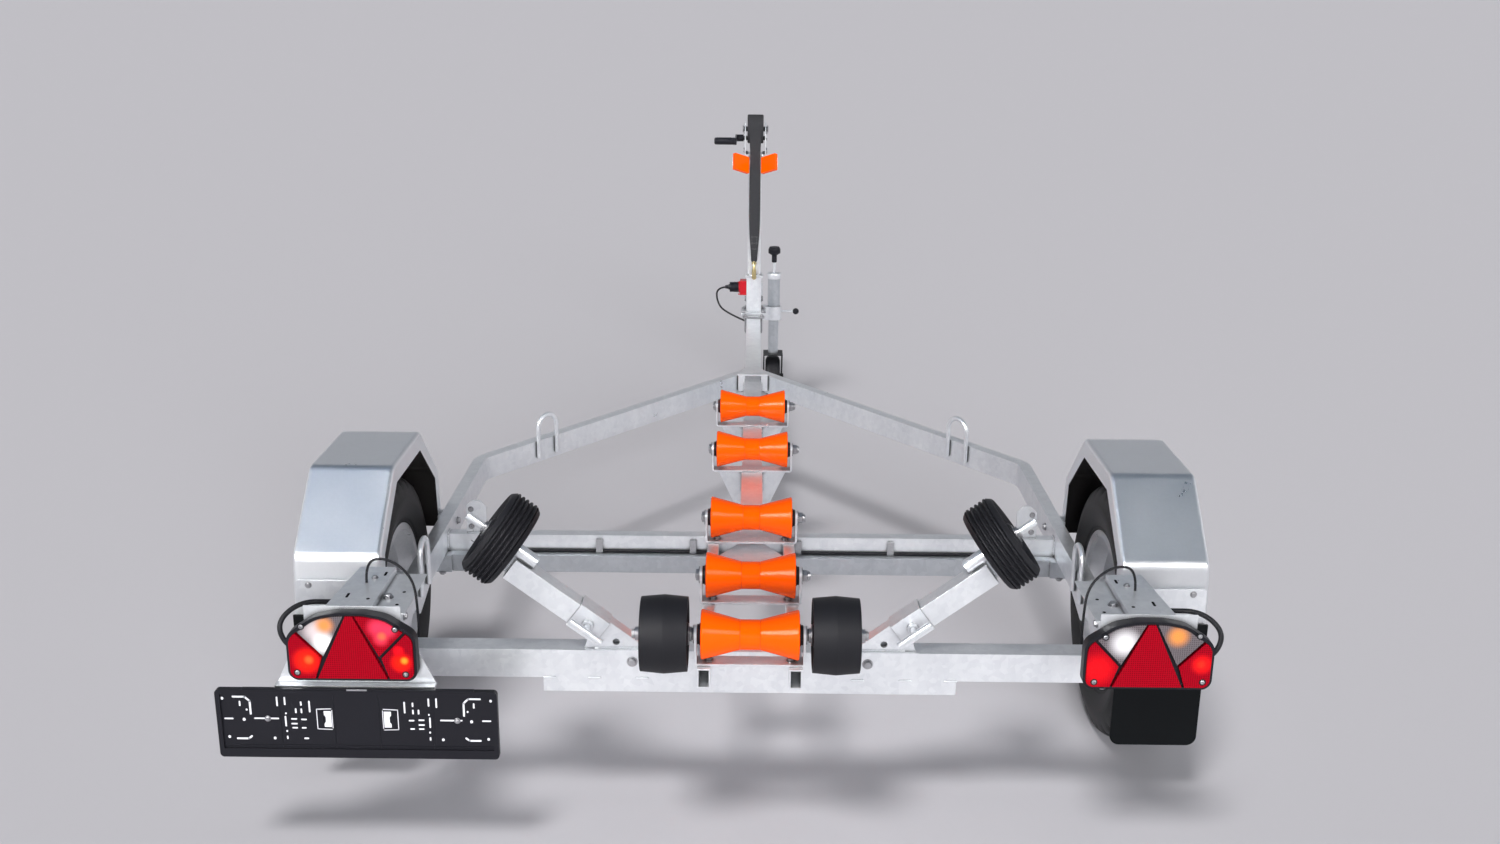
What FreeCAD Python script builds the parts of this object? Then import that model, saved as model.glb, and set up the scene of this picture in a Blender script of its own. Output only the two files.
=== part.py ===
"""Single-axle boat trailer with keel rollers, winch post and jockey wheel.

The origin is on the ground midway between the tyres, +X to the right seen from
behind, +Y forward to the coupling and +Z up.
"""
import FreeCAD, Part
import math
import os
import Sketcher

Vector = FreeCAD.Vector
doc = FreeCAD.newDocument("BoatTrailer")
sheet = doc.addObject("Spreadsheet::Sheet", "Sizes")

SIZES = {
    # Tubes and sheets used all over the trailer
    "deck_z": 382, "tube_wall": 3, "sheet_thick": 2.5, "overrun": 5, "run_gap": 0.3,
    # Side rails and the two arms of the drawbar
    "rail_wide": 30, "rail_tall": 60, "rail_face_x": 735, "rail_behind": 400,
    "bend_ahead": 665, "bend_radius": 52, "apex_ahead": 1590,
    # Drawbar and the plates that tie the arms to it
    "drawbar_wide": 54, "drawbar_tall": 60, "drawbar_ahead": 3005,
    "apex_plate_thick": 5, "apex_plate_long": 76, "apex_plate_front": 1606,
    "apex_plate_half": 49, "apex_plate_nose": 30, "cheek_wide": 20, "cheek_thick": 6,
    # Cross beam ahead of the axle and the plates that stand on it
    "cross_beam_ahead": 160, "cross_beam_deep": 30, "cross_beam_tall": 40,
    "lug_x": 638, "lug_wide": 46, "lug_tall": 79, "lug_clip": 14, "lug_thick": 5, "lug_inset": 12,
    # Rear beam and the flat under it
    "rear_beam_behind": 362, "rear_beam_deep": 50, "rear_beam_tall": 60,
    "flat_half": 412, "flat_tall": 30, "flat_thick": 8,
    # Keel cradle
    "cradle_x": 86.5, "cradle_wide": 25, "cradle_tall": 40, "cradle_behind": 520,
    "cradle_plate_thick": 6, "cradle_plate_deep": 110, "cradle_plate_drop": 18,
    "cradle_plate_seam": 30,
    # Torsion axle, its seats and trailing arms
    "axle_ahead": 151, "axle_side": 40, "axle_proud": 3, "seat_thick": 8, "seat_wide": 44,
    "swing_thick": 20, "swing_radius": 26, "spindle_radius": 15, "spindle_reach": 40,
    # Road wheels
    "drum_gap": 10, "tyre_radius": 281, "tyre_half": 75, "bead_radius": 165,
    "rim_half": 57, "rim_flange": 177, "rim_well": 142, "rim_sheet": 3.5, "rim_flat": 50,
    "rim_well_half": 24, "shoulder_drop": 17, "shoulder_half": 64, "bulge_radius": 226,
    "tyre_round": 16,
    "hub_face": 20, "hub_flange_radius": 62, "hub_flange_thick": 8, "hub_neck": 40,
    "drum_radius": 68, "drum_near": 72, "drum_far": 26, "hub_cap_radius": 27, "hub_cap_reach": 54,
    "disc_pilot": 31, "disc_flat": 74, "disc_crest": 42, "disc_crest_radius": 104,
    "stud_circle": 50, "stud_hole": 7, "vent_circle": 113, "vent_radius": 11,
    # Mudguards
    "guard_gap_in": 20, "guard_gap_out": 8, "guard_crown_gap": 80, "guard_crown_half": 125,
    "guard_shoulder_rise": 220, "guard_shoulder_in": 3, "guard_foot_z": 350, "guard_foot_gap": 14,
    "guard_bend": 30, "guard_edge": 9, "guard_lip": 40, "guard_tab_deep": 46, "guard_tab_tall": 44,
    "flap_bottom": 111, "flap_top": 382, "flap_thick": 5, "flap_round": 20,
    # Keel rollers, their brackets and pins
    "roller_z": 440, "roller_half": 92.5, "roller_radius": 48, "waist_radius": 28.5,
    "waist_half": 19, "roller_hub_radius": 15, "roller_side_gap": 7.5, "roller_hub_gap": 0.5,
    "strip_thick": 5, "strip_wide": 36, "strip_bend": 8, "pin_radius": 8,
    "head_radius": 13, "head_thick": 8, "nut_thick": 12, "pin_end": 6,
    "yoke_thick": 5, "yoke_bottom": 275, "yoke_foot_half": 40, "yoke_half": 90,
    "roller1_y": -491, "roller2_y": -205, "roller3_y": 135, "roller4_y": 645, "roller5_y": 1050,
    # Side rollers on the shaft of the last keel roller
    "side_x": 161, "side_half": 44, "side_radius": 74, "side_edge_radius": 70,
    "side_hub_radius": 20, "side_hub_depth": 6, "shaft_half": 216,
    # Side supports
    "support_tilt": 37, "support_y": -337, "support_end_x": 472, "support_end_z": 511,
    "arm_tall": 46, "arm_deep": 40, "sleeve_tall": 54, "sleeve_deep": 48, "sleeve_long": 68,
    "sleeve_lift": 13, "arm_wall": 3, "gusset_thick": 5, "gusset_deep": 30, "gusset_lip": 6,
    "gusset_in_x": 212, "gusset_out_x": 330, "gusset_under": 15, "gusset_hole": 7,
    "bush_radius": 14, "bush_long": 50, "bush_weld": 2, "axle_rod_radius": 8,
    "support_wheel_radius": 92, "support_wheel_half": 34, "support_wheel_edge": 83,
    "support_wheel_shoulder": 24, "support_wheel_gap": 14, "support_hub_radius": 24,
    "axle_rod_tail": 46, "clamp_radius": 6, "clamp_reach": 34, "clamp_bar_half": 38,
    "clamp_bar_radius": 6.5, "clamp_boss_radius": 11, "clamp_boss_long": 9,
    # Lashing loops
    "loop_rod": 6, "loop_half": 35, "loop_rise": 70, "loop_leg": 46,
    "front_loop_x": 570, "rear_loop_behind": 105,
    # Rear lamps and their brackets
    "lamp_x": 738, "lamp_z": 427, "lamp_half": 120, "lamp_low": 66, "lamp_high": 70,
    "lamp_brow": 62, "lamp_cheek": 26, "lamp_behind": 541, "lamp_deep": 22, "lamp_round": 20,
    "lens_proud": 3, "lens_border": 5, "lens_gap": 4, "lens_sink": 6,
    "console_top": 502, "console_gap": 35, "console_out_x": 787, "console_in_x": 700,
    "console_nose_x": 770, "channel_in_x": 640, "channel_drop": 14, "mount_half": 90,
    "mount_low": 380, "mount_high": 490,
    # Number plate holder
    "plate_x": 734.5, "plate_half": 263.5, "plate_z": 273, "plate_tall": 140, "plate_thick": 12,
    "plate_behind": 548, "plate_rim": 9, "plate_recess": 4, "plate_round": 8,
    "carrier_thick": 3, "carrier_top_half": 105, "carrier_foot_half": 150, "carrier_low": 218,
    "carrier_shelf": 347, "carrier_top": 440,
    # Winch post
    "post_behind": 458, "flange_side": 95, "flange_thick": 12, "socket_side": 57, "socket_tall": 137,
    "collar_side": 66, "collar_thick": 5, "post_side": 50, "post_top": 996,
    # Winch
    "drum_z": 1090, "roll_radius": 53, "roll_half": 30, "winch_plate_thick": 4,
    "winch_half": 40, "winch_top_plate": 96, "winch_ear_radius": 26, "drum_shaft_radius": 9,
    "crank_ahead": 60, "crank_drop": 40, "crank_shaft_radius": 8, "crank_x": 70,
    "crank_arm_long": 150, "crank_arm_wide": 24, "crank_arm_thick": 6, "grip_long": 74,
    "grip_radius": 12, "crank_boss_radius": 13,
    # Bow stop
    "stop_z": 962, "stop_tall": 62, "stop_lean": 26, "stop_inner": 22, "stop_outer": 73,
    "stop_depth": 48, "stop_thick": 14, "stop_behind": 61, "stop_plate": 4, "stop_band": 34,
    "stop_tie": 8,
    # Winch strap and hook
    "strap_wide": 42, "strap_thick": 2.5, "strap_low": 634, "strap_gap": 1.5,
    "hook_radius": 5, "hook_out": 14, "hook_neck": 36, "eye_radius": 4, "eye_half": 16,
    # Jockey wheel
    "jack_x": 80, "jack_behind": 289, "jack_tube_radius": 24, "jack_tube_low": 321,
    "jack_tube_top": 505, "jack_leg_radius": 20, "jack_wheel_radius": 80, "jack_wheel_half": 29,
    "jack_trail": 34, "jack_clamp_low": 323, "jack_clamp_tall": 54, "jack_clamp_wall": 7,
    "jack_fork_plate": 5, "jack_fork_top": 185, "jack_fork_long": 80, "jack_axle_radius": 8,
    "jack_tyre_inner": 50, "jack_hub_radius": 18, "jack_leg_top": 430,
    "knob_low": 554, "knob_top": 615, "knob_radius": 24, "knob_stem_radius": 10,
    "jack_spindle_radius": 4, "jack_lever_long": 58, "jack_ball_radius": 12,
    # Coupling
    "ball_ahead": 107, "ball_z": 356, "ball_radius": 25.3, "head_wall": 13, "head_top": 398,
    "neck_wall": 4, "neck_cover": 70, "lever_thick": 5, "lever_wide": 22, "lever_rise": 26,
    # Plug, its holder and the cables
    "holder_x": 29, "holder_wide": 25, "holder_low": 459, "holder_tall": 55, "holder_deep": 44,
    "lead_radius": 2.5, "hose_radius": 5, "plug_radius": 19, "plug_long": 40,
    "cable_radius": 3.5, "cable_end": 640,
    "clip_thick": 2, "clip_wide": 15, "clip_tall": 30,
}


class Size:
    """A number with the formula over the sheet's cells that gives it."""

    def __init__(self, value, formula):
        self.value = float(value)
        self.formula = formula

    def __add__(self, other):
        return Size(self.value + number(other), "(%s + %s)" % (self.formula, formula(other)))

    def __radd__(self, other):
        return Size(number(other) + self.value, "(%s + %s)" % (formula(other), self.formula))

    def __sub__(self, other):
        return Size(self.value - number(other), "(%s - %s)" % (self.formula, formula(other)))

    def __rsub__(self, other):
        return Size(number(other) - self.value, "(%s - %s)" % (formula(other), self.formula))

    def __mul__(self, other):
        return Size(self.value * number(other), "(%s * %s)" % (self.formula, formula(other)))

    __rmul__ = __mul__

    def __truediv__(self, other):
        return Size(self.value / number(other), "(%s / %s)" % (self.formula, formula(other)))

    def __neg__(self):
        return Size(-self.value, "(0 - %s)" % self.formula)


def number(thing):
    return thing.value if isinstance(thing, Size) else float(thing)


def formula(thing):
    return thing.formula if isinstance(thing, Size) else "(%.9f)" % thing


def tangent(angle):
    return Size(math.tan(math.radians(angle.value)), "tan(%s)" % angle.formula)


def sine(angle):
    return Size(math.sin(math.radians(angle.value)), "sin(%s)" % angle.formula)


def cosine(angle):
    return Size(math.cos(math.radians(angle.value)), "cos(%s)" % angle.formula)


def arc_tangent(ratio):
    return Size(math.degrees(math.atan(ratio.value)), "atan(%s)" % ratio.formula)


class Cells:
    """The sheet's cells as sizes, read by name."""


cell = Cells()
for row, (name, value) in enumerate(SIZES.items(), 1):
    sheet.set("A%d" % row, name)
    sheet.set("B%d" % row, repr(value))
    sheet.setAlias("B%d" % row, name)
    setattr(cell, name, Size(value, "Sizes." + name))
doc.recompute()

nodes = []


def vector(point):
    return Vector(*(number(part) for part in point))


def bind(thing, path, size):
    thing.setExpression(path, formula(size))


def place(thing, at=(0, 0, 0), axis=None, angle=0):
    """Puts a piece at a point, turned about an axis through that point."""
    turn = FreeCAD.Rotation(axis, number(angle)) if axis else FreeCAD.Rotation()
    thing.Placement = FreeCAD.Placement(vector(at), turn)
    for letter, size in zip("xyz", at):
        bind(thing, "Placement.Base." + letter, size)
    if isinstance(angle, Size):
        bind(thing, "Placement.Rotation.Angle", angle)
    return thing


ALONG_Y = {"axis": Vector(0, 0, 1), "angle": 90}
ALONG_Z = {"axis": Vector(0, -1, 0), "angle": 90}


def block(name, size, low):
    """A box from its sizes and its lowest corner."""
    box = doc.addObject("Part::Box", name)
    for path, length in zip(("Length", "Width", "Height"), size):
        bind(box, path, length)
    return place(box, low)


def rod(name, radius, length, at, axis=None, angle=0):
    """A cylinder that stands on a point, along Z before it is turned."""
    cylinder = doc.addObject("Part::Cylinder", name)
    bind(cylinder, "Radius", radius)
    bind(cylinder, "Height", length)
    return place(cylinder, at, axis, angle)


TURN_X = {"axis": Vector(0, 1, 0), "angle": 90}
TURN_BACK_X = {"axis": Vector(0, -1, 0), "angle": 90}
TURN_Y = {"axis": Vector(-1, 0, 0), "angle": 90}
TURN_BACK_Y = {"axis": Vector(1, 0, 0), "angle": 90}


def hexagon(name, radius, length, at, axis=None, angle=0):
    """A six-sided head or nut that stands on a point."""
    prism = doc.addObject("Part::Prism", name)
    prism.Polygon = 6
    bind(prism, "Circumradius", radius)
    bind(prism, "Height", length)
    return place(prism, at, axis, angle)


def fuse(name, *pieces):
    joined = doc.addObject("Part::MultiFuse", name)
    joined.Shapes = list(pieces)
    joined.Refine = True
    return joined


def cut(name, base, *tools):
    result = doc.addObject("Part::Cut", name)
    result.Base = base
    result.Tool = tools[0] if len(tools) == 1 else fuse(name + "_tools", *tools)
    return result


def group(name, *pieces):
    """Like pieces that don't touch, kept in one node."""
    several = doc.addObject("Part::Compound", name)
    several.Links = list(pieces)
    return several


def mirrored(name, piece):
    """The same piece on the left side."""
    other = doc.addObject("Part::Mirroring", name)
    other.Source = piece
    other.Normal = Vector(1, 0, 0)
    return other


def pair(name, piece):
    return group(name, piece, mirrored(name + "_left", piece))


def node(label, piece):
    """Names a finished sub-part; its label names its file."""
    piece.Label = label
    nodes.append(piece)
    return piece


def sketch_in(body, plane, outlines, circles=()):
    """A sketch on an origin plane, every point held by the sheet."""
    sketch = body.newObject("Sketcher::SketchObject", body.Name + "_sketch")
    origin_plane = next(f for f in body.Origin.OriginFeatures if f.Role == plane + "_Plane")
    sketch.AttachmentSupport = [(origin_plane, "")]
    sketch.MapMode = "FlatFace"
    held = []
    for outline in outlines:
        first, count = len(sketch.Geometry), len(outline)
        corners = [Vector(number(u), number(v), 0) for u, v in outline]
        for index in range(count):
            line = Part.LineSegment(corners[index], corners[(index + 1) % count])
            sketch.addGeometry(line, False)
        for index in range(count):
            follower = first + (index + 1) % count
            sketch.addConstraint(Sketcher.Constraint("Coincident", first + index, 2, follower, 1))
        for index, (u, v) in enumerate(outline):
            held.append(("DistanceX", first + index, 1, u))
            held.append(("DistanceY", first + index, 1, v))
    for u, v, radius in circles:
        index = len(sketch.Geometry)
        circle = Part.Circle(Vector(number(u), number(v), 0), Vector(0, 0, 1), number(radius))
        sketch.addGeometry(circle, False)
        held.append(("DistanceX", index, 3, u))
        held.append(("DistanceY", index, 3, v))
        row = sketch.addConstraint(Sketcher.Constraint("Radius", index, number(radius)))
        bind(sketch, "Constraints[%d]" % row, radius)
    for kind, index, end, size in held:
        row = sketch.addConstraint(Sketcher.Constraint(kind, -1, 1, index, end, number(size)))
        bind(sketch, "Constraints[%d]" % row, size)
    return sketch


def plate(name, plane, outlines, thick, circles=(), at=(0, 0, 0), axis=None, angle=0):
    """A pad as thick as asked, half to each side of its plane."""
    body = doc.addObject("PartDesign::Body", name)
    feature = body.newObject("PartDesign::Pad", name + "_pad")
    feature.Profile = sketch_in(body, plane, outlines, circles)
    body.Tip = feature
    feature.SideType = "Symmetric"
    bind(feature, "Length", thick)
    return place(body, at, axis, angle)


def turned(name, outline, at=(0, 0, 0), axis=None, angle=0):
    """A body of revolution about X: its outline holds places along X and radii."""
    body = doc.addObject("PartDesign::Body", name)
    sketch = sketch_in(body, "XZ", [outline])
    feature = body.newObject("PartDesign::Revolution", name + "_turn")
    feature.Profile = sketch
    feature.ReferenceAxis = (sketch, ["H_Axis"])
    feature.Angle = 360
    body.Tip = feature
    return place(body, at, axis, angle)


def edge_names(shape, wanted):
    names = []
    for index, edge in enumerate(shape.Edges, 1):
        middle = edge.CenterOfMass if edge.Curve.TypeId == "Part::GeomCircle" else \
            (edge.Vertexes[0].Point + edge.Vertexes[-1].Point) * 0.5
        if wanted(edge, middle):
            names.append("Edge%d" % index)
    return names


def soften(body, radius, wanted):
    """Rounds the edges of a body's last feature that the test picks."""
    doc.recompute()
    base = body.Tip
    feature = body.newObject("PartDesign::Fillet", body.Name + "_round")
    feature.Base = (base, edge_names(base.Shape, wanted))
    bind(feature, "Radius", radius)
    body.Tip = feature
    return body


def runs_along(axis):
    """A test for straight edges in one direction."""
    def test(edge, middle):
        if edge.Curve.TypeId != "Part::GeomLine":
            return False
        way = edge.Vertexes[-1].Point - edge.Vertexes[0].Point
        return abs(way.normalize().dot(axis)) > 0.999
    return test


def rectangle(low_u, high_u, low_v, high_v):
    return [(low_u, low_v), (high_u, low_v), (high_u, high_v), (low_u, high_v)]


def square_tube(name, way, length, wide, tall, wall, low):
    """A straight hollow tube along an axis, from its lowest corner."""
    far = cell.overrun
    if way == "X":
        outer = block(name + "_outer", (length, wide, tall), low)
        inner = block(name + "_inner", (length + 2 * far, wide - 2 * wall, tall - 2 * wall),
                      (low[0] - far, low[1] + wall, low[2] + wall))
    elif way == "Y":
        outer = block(name + "_outer", (wide, length, tall), low)
        inner = block(name + "_inner", (wide - 2 * wall, length + 2 * far, tall - 2 * wall),
                      (low[0] + wall, low[1] - far, low[2] + wall))
    else:
        outer = block(name + "_outer", (wide, tall, length), low)
        inner = block(name + "_inner", (wide - 2 * wall, tall - 2 * wall, length + 2 * far),
                      (low[0] + wall, low[1] + wall, low[2] - far))
    return cut(name, outer, inner)


def smooth_path(points, share=0.45):
    """A wire of straight runs joined by arcs, each as large as its two runs allow."""
    corners = [vector(point) for point in points]
    edges, start = [], corners[0]
    for before, corner, after in zip(corners, corners[1:], corners[2:]):
        back, ahead = before - corner, after - corner
        reach = share * min(back.Length, ahead.Length)
        back.normalize()
        ahead.normalize()
        middle = back + ahead
        half = back.getAngle(ahead) / 2
        bend = reach * math.tan(half)
        print("bend radius %.1f mm" % bend)
        middle.normalize()
        first, last = corner + back * reach, corner + ahead * reach
        through = corner + middle * (bend / math.sin(half) - bend)
        edges.append(Part.LineSegment(start, first).toShape())
        edges.append(Part.Arc(first, through, last).toShape())
        start = last
    edges.append(Part.LineSegment(start, corners[-1]).toShape())
    return Part.Wire(edges)


def bent_rod(name, radius, points, share=0.45):
    """A round bar or cable along a path of runs and arcs."""
    path = smooth_path(points, share)
    ahead = path.Edges[0].tangentAt(path.Edges[0].FirstParameter)
    ring = Part.Wire(Part.Circle(vector(points[0]), ahead, number(radius)).toShape())
    solid = path.makePipeShell([ring], True, True)
    bar = doc.addObject("Part::Feature", name)
    bar.Shape = solid
    return bar


def make_rails_and_arms():
    """Two side rails, bent inwards to arms that meet the drawbar."""
    half = cell.rail_wide / 2
    middle = cell.rail_face_x - half
    side = cell.drawbar_wide / 2
    under = cell.deck_z - cell.cradle_tall
    lift = under + cell.rail_tall / 2
    turn = arc_tangent((middle - side) / (cell.apex_ahead - cell.bend_ahead))
    slope = tangent(turn)
    lean = tangent(turn / 2)

    def mitre(out):
        return (middle + out, cell.bend_ahead + out * lean)

    def bent_bar(name, out, tall):
        """The bent outline as far out from the middle line as asked, rounded at its bend."""
        near, far = mitre(-out), mitre(out)
        bar = plate(name, "XY", [[
            (middle - out, -cell.rail_behind), (middle + out, -cell.rail_behind), far,
            (side, far[1] + (far[0] - side) / slope), (side, near[1] + (near[0] - side) / slope),
            near]], tall, at=(0, 0, lift))
        for corner, radius in ((far, cell.bend_radius + half + out),
                               (near, cell.bend_radius + half - out)):
            spot = vector((corner[0], corner[1], 0))
            soften(bar, radius, lambda edge, at: runs_along(Vector(0, 0, 1))(edge, at)
                   and (Vector(at.x, at.y, 0) - spot).Length < 1)
        return bar

    outer = bent_bar("rail_outer", half, cell.rail_tall)
    inner = bent_bar("rail_inner", half - cell.tube_wall, cell.rail_tall - 2 * cell.tube_wall)
    node("side_rails", pair("side_rails", cut("side_rail", outer, inner)))
    return turn


def make_drawbar():
    side = cell.drawbar_wide / 2
    rear = cell.cross_beam_ahead + cell.cross_beam_deep
    low = (-side, rear, cell.deck_z - cell.drawbar_tall)
    tube = square_tube("drawbar", "Y", cell.drawbar_ahead - rear, cell.drawbar_wide,
                       cell.drawbar_tall, cell.tube_wall, low)
    top = cell.deck_z - cell.cradle_tall + cell.rail_tall
    plate_rear = cell.apex_plate_front - cell.apex_plate_long
    outline = [(-cell.apex_plate_half, plate_rear),
               (cell.apex_plate_half, plate_rear),
               (cell.apex_plate_nose, cell.apex_plate_front),
               (-cell.apex_plate_nose, cell.apex_plate_front)]
    cover = plate("apex_cover", "XY", [outline], cell.apex_plate_thick,
                  at=(0, 0, top + cell.apex_plate_thick / 2))
    cheeks = [block("apex_cheek_%s" % name,
                    (cell.cheek_wide, cell.cheek_thick, top - (cell.deck_z - cell.drawbar_tall / 2)),
                    (x, plate_rear, cell.deck_z - cell.drawbar_tall / 2))
              for name, x in (("right", side), ("left", -side - cell.cheek_wide))]
    node("drawbar", tube)
    node("apex_plate", fuse("apex_plate", cover, *cheeks))


def make_cross_beam():
    inside = cell.rail_face_x - cell.rail_wide
    low = (-inside, cell.cross_beam_ahead, cell.deck_z - cell.cross_beam_tall)
    tube = square_tube("cross_tube", "X", 2 * inside, cell.cross_beam_deep,
                       cell.cross_beam_tall, cell.tube_wall, low)
    half, top, clip = cell.lug_wide / 2, cell.lug_tall, cell.lug_clip
    outline = [(-half, 0), (half, 0), (half, top - clip), (half - clip, top),
               (clip - half, top), (-half, top - clip)]
    lug = plate("beam_lug", "XZ", [outline], cell.lug_thick,
                at=(cell.lug_x, cell.cross_beam_ahead + cell.lug_inset, cell.deck_z))
    node("cross_beam", fuse("cross_beam", tube, lug, mirrored("beam_lug_left", lug)))


def make_rear_beam():
    top = cell.deck_z - cell.cradle_tall
    low = (-cell.rail_face_x, -cell.rear_beam_behind, top - cell.rear_beam_tall)
    beam = square_tube("rear_beam_tube", "X", 2 * cell.rail_face_x, cell.rear_beam_deep,
                       cell.rear_beam_tall, cell.tube_wall, low)
    flat = block("rear_beam_flat", (2 * cell.flat_half, cell.flat_thick, cell.flat_tall),
                 (-cell.flat_half, low[1], low[2] - cell.flat_tall))
    node("rear_beam", fuse("rear_beam", beam, flat))


def make_cradle():
    """Two tubes under the rear keel rollers, tied by a tapered plate at the cross beam."""
    half = cell.cradle_wide / 2
    low = (cell.cradle_x - half, -cell.cradle_behind, cell.deck_z - cell.cradle_tall)
    length = cell.cradle_behind + cell.cross_beam_ahead
    right = square_tube("cradle_tube", "Y", length, cell.cradle_wide, cell.cradle_tall,
                        cell.tube_wall, low)
    left = mirrored("cradle_tube_left", right)
    inside = cell.cradle_x - half
    front, rear = cell.cross_beam_ahead, cell.cross_beam_ahead - cell.cradle_plate_deep
    start = rear + cell.cradle_plate_seam
    outline = [(-inside, rear), (inside, rear), (inside, start), (cell.drawbar_wide / 2, front),
               (-cell.drawbar_wide / 2, front), (-inside, start)]
    tie = plate("cradle_tie", "XY", [outline], cell.cradle_plate_thick,
                at=(0, 0, cell.deck_z - cell.cradle_plate_drop))
    node("keel_cradle", fuse("keel_cradle", right, left, tie))


def axle_end():
    """How far out the axle tube reaches, a little past the rails."""
    return cell.rail_face_x + cell.axle_proud


def track_half():
    """The middle plane of a road wheel: arm, gap and drum stand between it and the axle."""
    return axle_end() + cell.swing_thick + cell.drum_gap + cell.drum_near


def make_axle():
    """A rubber torsion axle: square tube, seats under the rails, trailing arms, spindles."""
    side, end = cell.axle_side, axle_end()
    top = cell.deck_z - cell.cradle_tall
    low = (-end, cell.axle_ahead - side / 2, top - side)
    tube = square_tube("axle_tube", "X", 2 * end, side, side, cell.tube_wall, low)
    seats = []
    for name, y in (("front", low[1] + side), ("rear", low[1] - cell.seat_thick)):
        seat = block("axle_seat_" + name, (cell.seat_wide, cell.seat_thick, side),
                     (cell.rail_face_x - cell.seat_wide, y, low[2]))
        seats += [seat, mirrored("axle_seat_%s_left" % name, seat)]
    node("torsion_axle", fuse("torsion_axle", tube, *seats))

    rise = top - side / 2 - cell.tyre_radius
    angle = arc_tangent(rise / cell.axle_ahead)
    reach = cell.axle_ahead / cosine(angle)
    arm = plate("swing_bar", "YZ", [rectangle(0, reach, -cell.swing_radius, cell.swing_radius)],
                cell.swing_thick, at=(end + cell.swing_thick / 2, 0, cell.tyre_radius),
                axis=Vector(1, 0, 0), angle=angle)
    ends = [rod("swing_boss_" + name, cell.swing_radius, cell.swing_thick,
                (end, y, z), **TURN_X)
            for name, y, z in (("axle", cell.axle_ahead, top - side / 2),
                               ("wheel", 0, cell.tyre_radius))]
    spindle = rod("spindle", cell.spindle_radius,
                  track_half() + cell.spindle_reach - end,
                  (end, 0, cell.tyre_radius), **TURN_X)
    node("swing_arms", pair("swing_arms", fuse("swing_arm", arm, *ends, spindle)))


def make_road_wheel():
    """Steel rim, tyre and hub of the right wheel about its own centre."""
    half, sheet_gauge = cell.rim_half, cell.rim_sheet
    flange, bead, well = cell.rim_flange, cell.bead_radius, cell.rim_well
    ledge, floor = cell.rim_flat, cell.rim_well_half
    under = bead - sheet_gauge
    barrel = turned("rim_barrel", [
        (-half - sheet_gauge, flange), (-half, flange), (-half, bead), (-ledge, bead),
        (-floor, well), (floor, well), (ledge, bead), (half, bead), (half, flange),
        (half + sheet_gauge, flange), (half + sheet_gauge, under), (ledge, under),
        (floor, well - sheet_gauge), (-floor, well - sheet_gauge), (-ledge, under),
        (-half - sheet_gauge, under)])
    face, crest = cell.hub_face, cell.disc_crest
    seat = well - sheet_gauge / 2
    disc = turned("rim_disc", [
        (face, cell.disc_pilot), (face + sheet_gauge, cell.disc_pilot),
        (face + sheet_gauge, cell.disc_flat), (crest, cell.disc_crest_radius),
        (crest, cell.vent_circle + cell.vent_radius), (floor, seat), (floor - sheet_gauge, seat),
        (crest - sheet_gauge, cell.vent_circle + cell.vent_radius),
        (crest - sheet_gauge, cell.disc_crest_radius), (face, cell.disc_flat)])
    holes = []
    for kind, count, circle, radius in (("stud", 4, cell.stud_circle, cell.stud_hole),
                                        ("vent", 8, cell.vent_circle, cell.vent_radius)):
        for index in range(count):
            around = 2 * math.pi * index / count
            at = (face - cell.overrun, circle * math.cos(around), circle * math.sin(around))
            holes.append(rod("rim_%s_%d" % (kind, index), radius, crest, at, **TURN_X))
    rim = cut("rim", fuse("rim_solid", barrel, disc), *holes)

    gap, wide = cell.run_gap, cell.tyre_half
    tyre = turned("tyre", [
        (gap - half, bead + gap), (half - gap, bead + gap), (half - gap, flange + gap),
        (wide, cell.bulge_radius), (cell.shoulder_half, (cell.tyre_radius - cell.shoulder_drop)),
        (cell.shoulder_half * 0.6, cell.tyre_radius), (-cell.shoulder_half * 0.6, cell.tyre_radius),
        (-cell.shoulder_half, (cell.tyre_radius - cell.shoulder_drop)), (-wide, cell.bulge_radius),
        (gap - half, flange + gap)])

    def crown(edge, middle):
        if edge.Curve.TypeId != "Part::GeomCircle":
            return False
        return edge.Curve.Radius > number(flange) + number(cell.overrun)
    soften(tyre, cell.tyre_round, crown)

    bore = cell.spindle_radius + gap
    neck = cell.hub_neck
    hub = turned("hub", [
        (-cell.drum_near, bore), (-cell.drum_near, cell.drum_radius),
        (-cell.drum_far, cell.drum_radius), (-cell.drum_far, neck),
        (face - cell.hub_flange_thick, neck), (face - cell.hub_flange_thick, cell.hub_flange_radius),
        (face, cell.hub_flange_radius), (face, cell.hub_cap_radius),
        (cell.hub_cap_reach - cell.overrun, cell.hub_cap_radius),
        (cell.hub_cap_reach, cell.hub_cap_radius - cell.overrun), (cell.hub_cap_reach, 0),
        (cell.spindle_reach + gap, 0), (cell.spindle_reach + gap, bore)])
    for piece, label in ((rim, "rim"), (tyre, "tyre"), (hub, "hub")):
        right = group(label + "_placed", piece)
        place(right, (track_half(), 0, cell.tyre_radius))
        node(label + "_right", right)
        node(label + "_left", mirrored(label + "_mirror", right))


def guard_foot():
    """How far ahead of and behind the axle the mudguards reach."""
    return cell.tyre_radius + cell.guard_foot_gap


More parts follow.
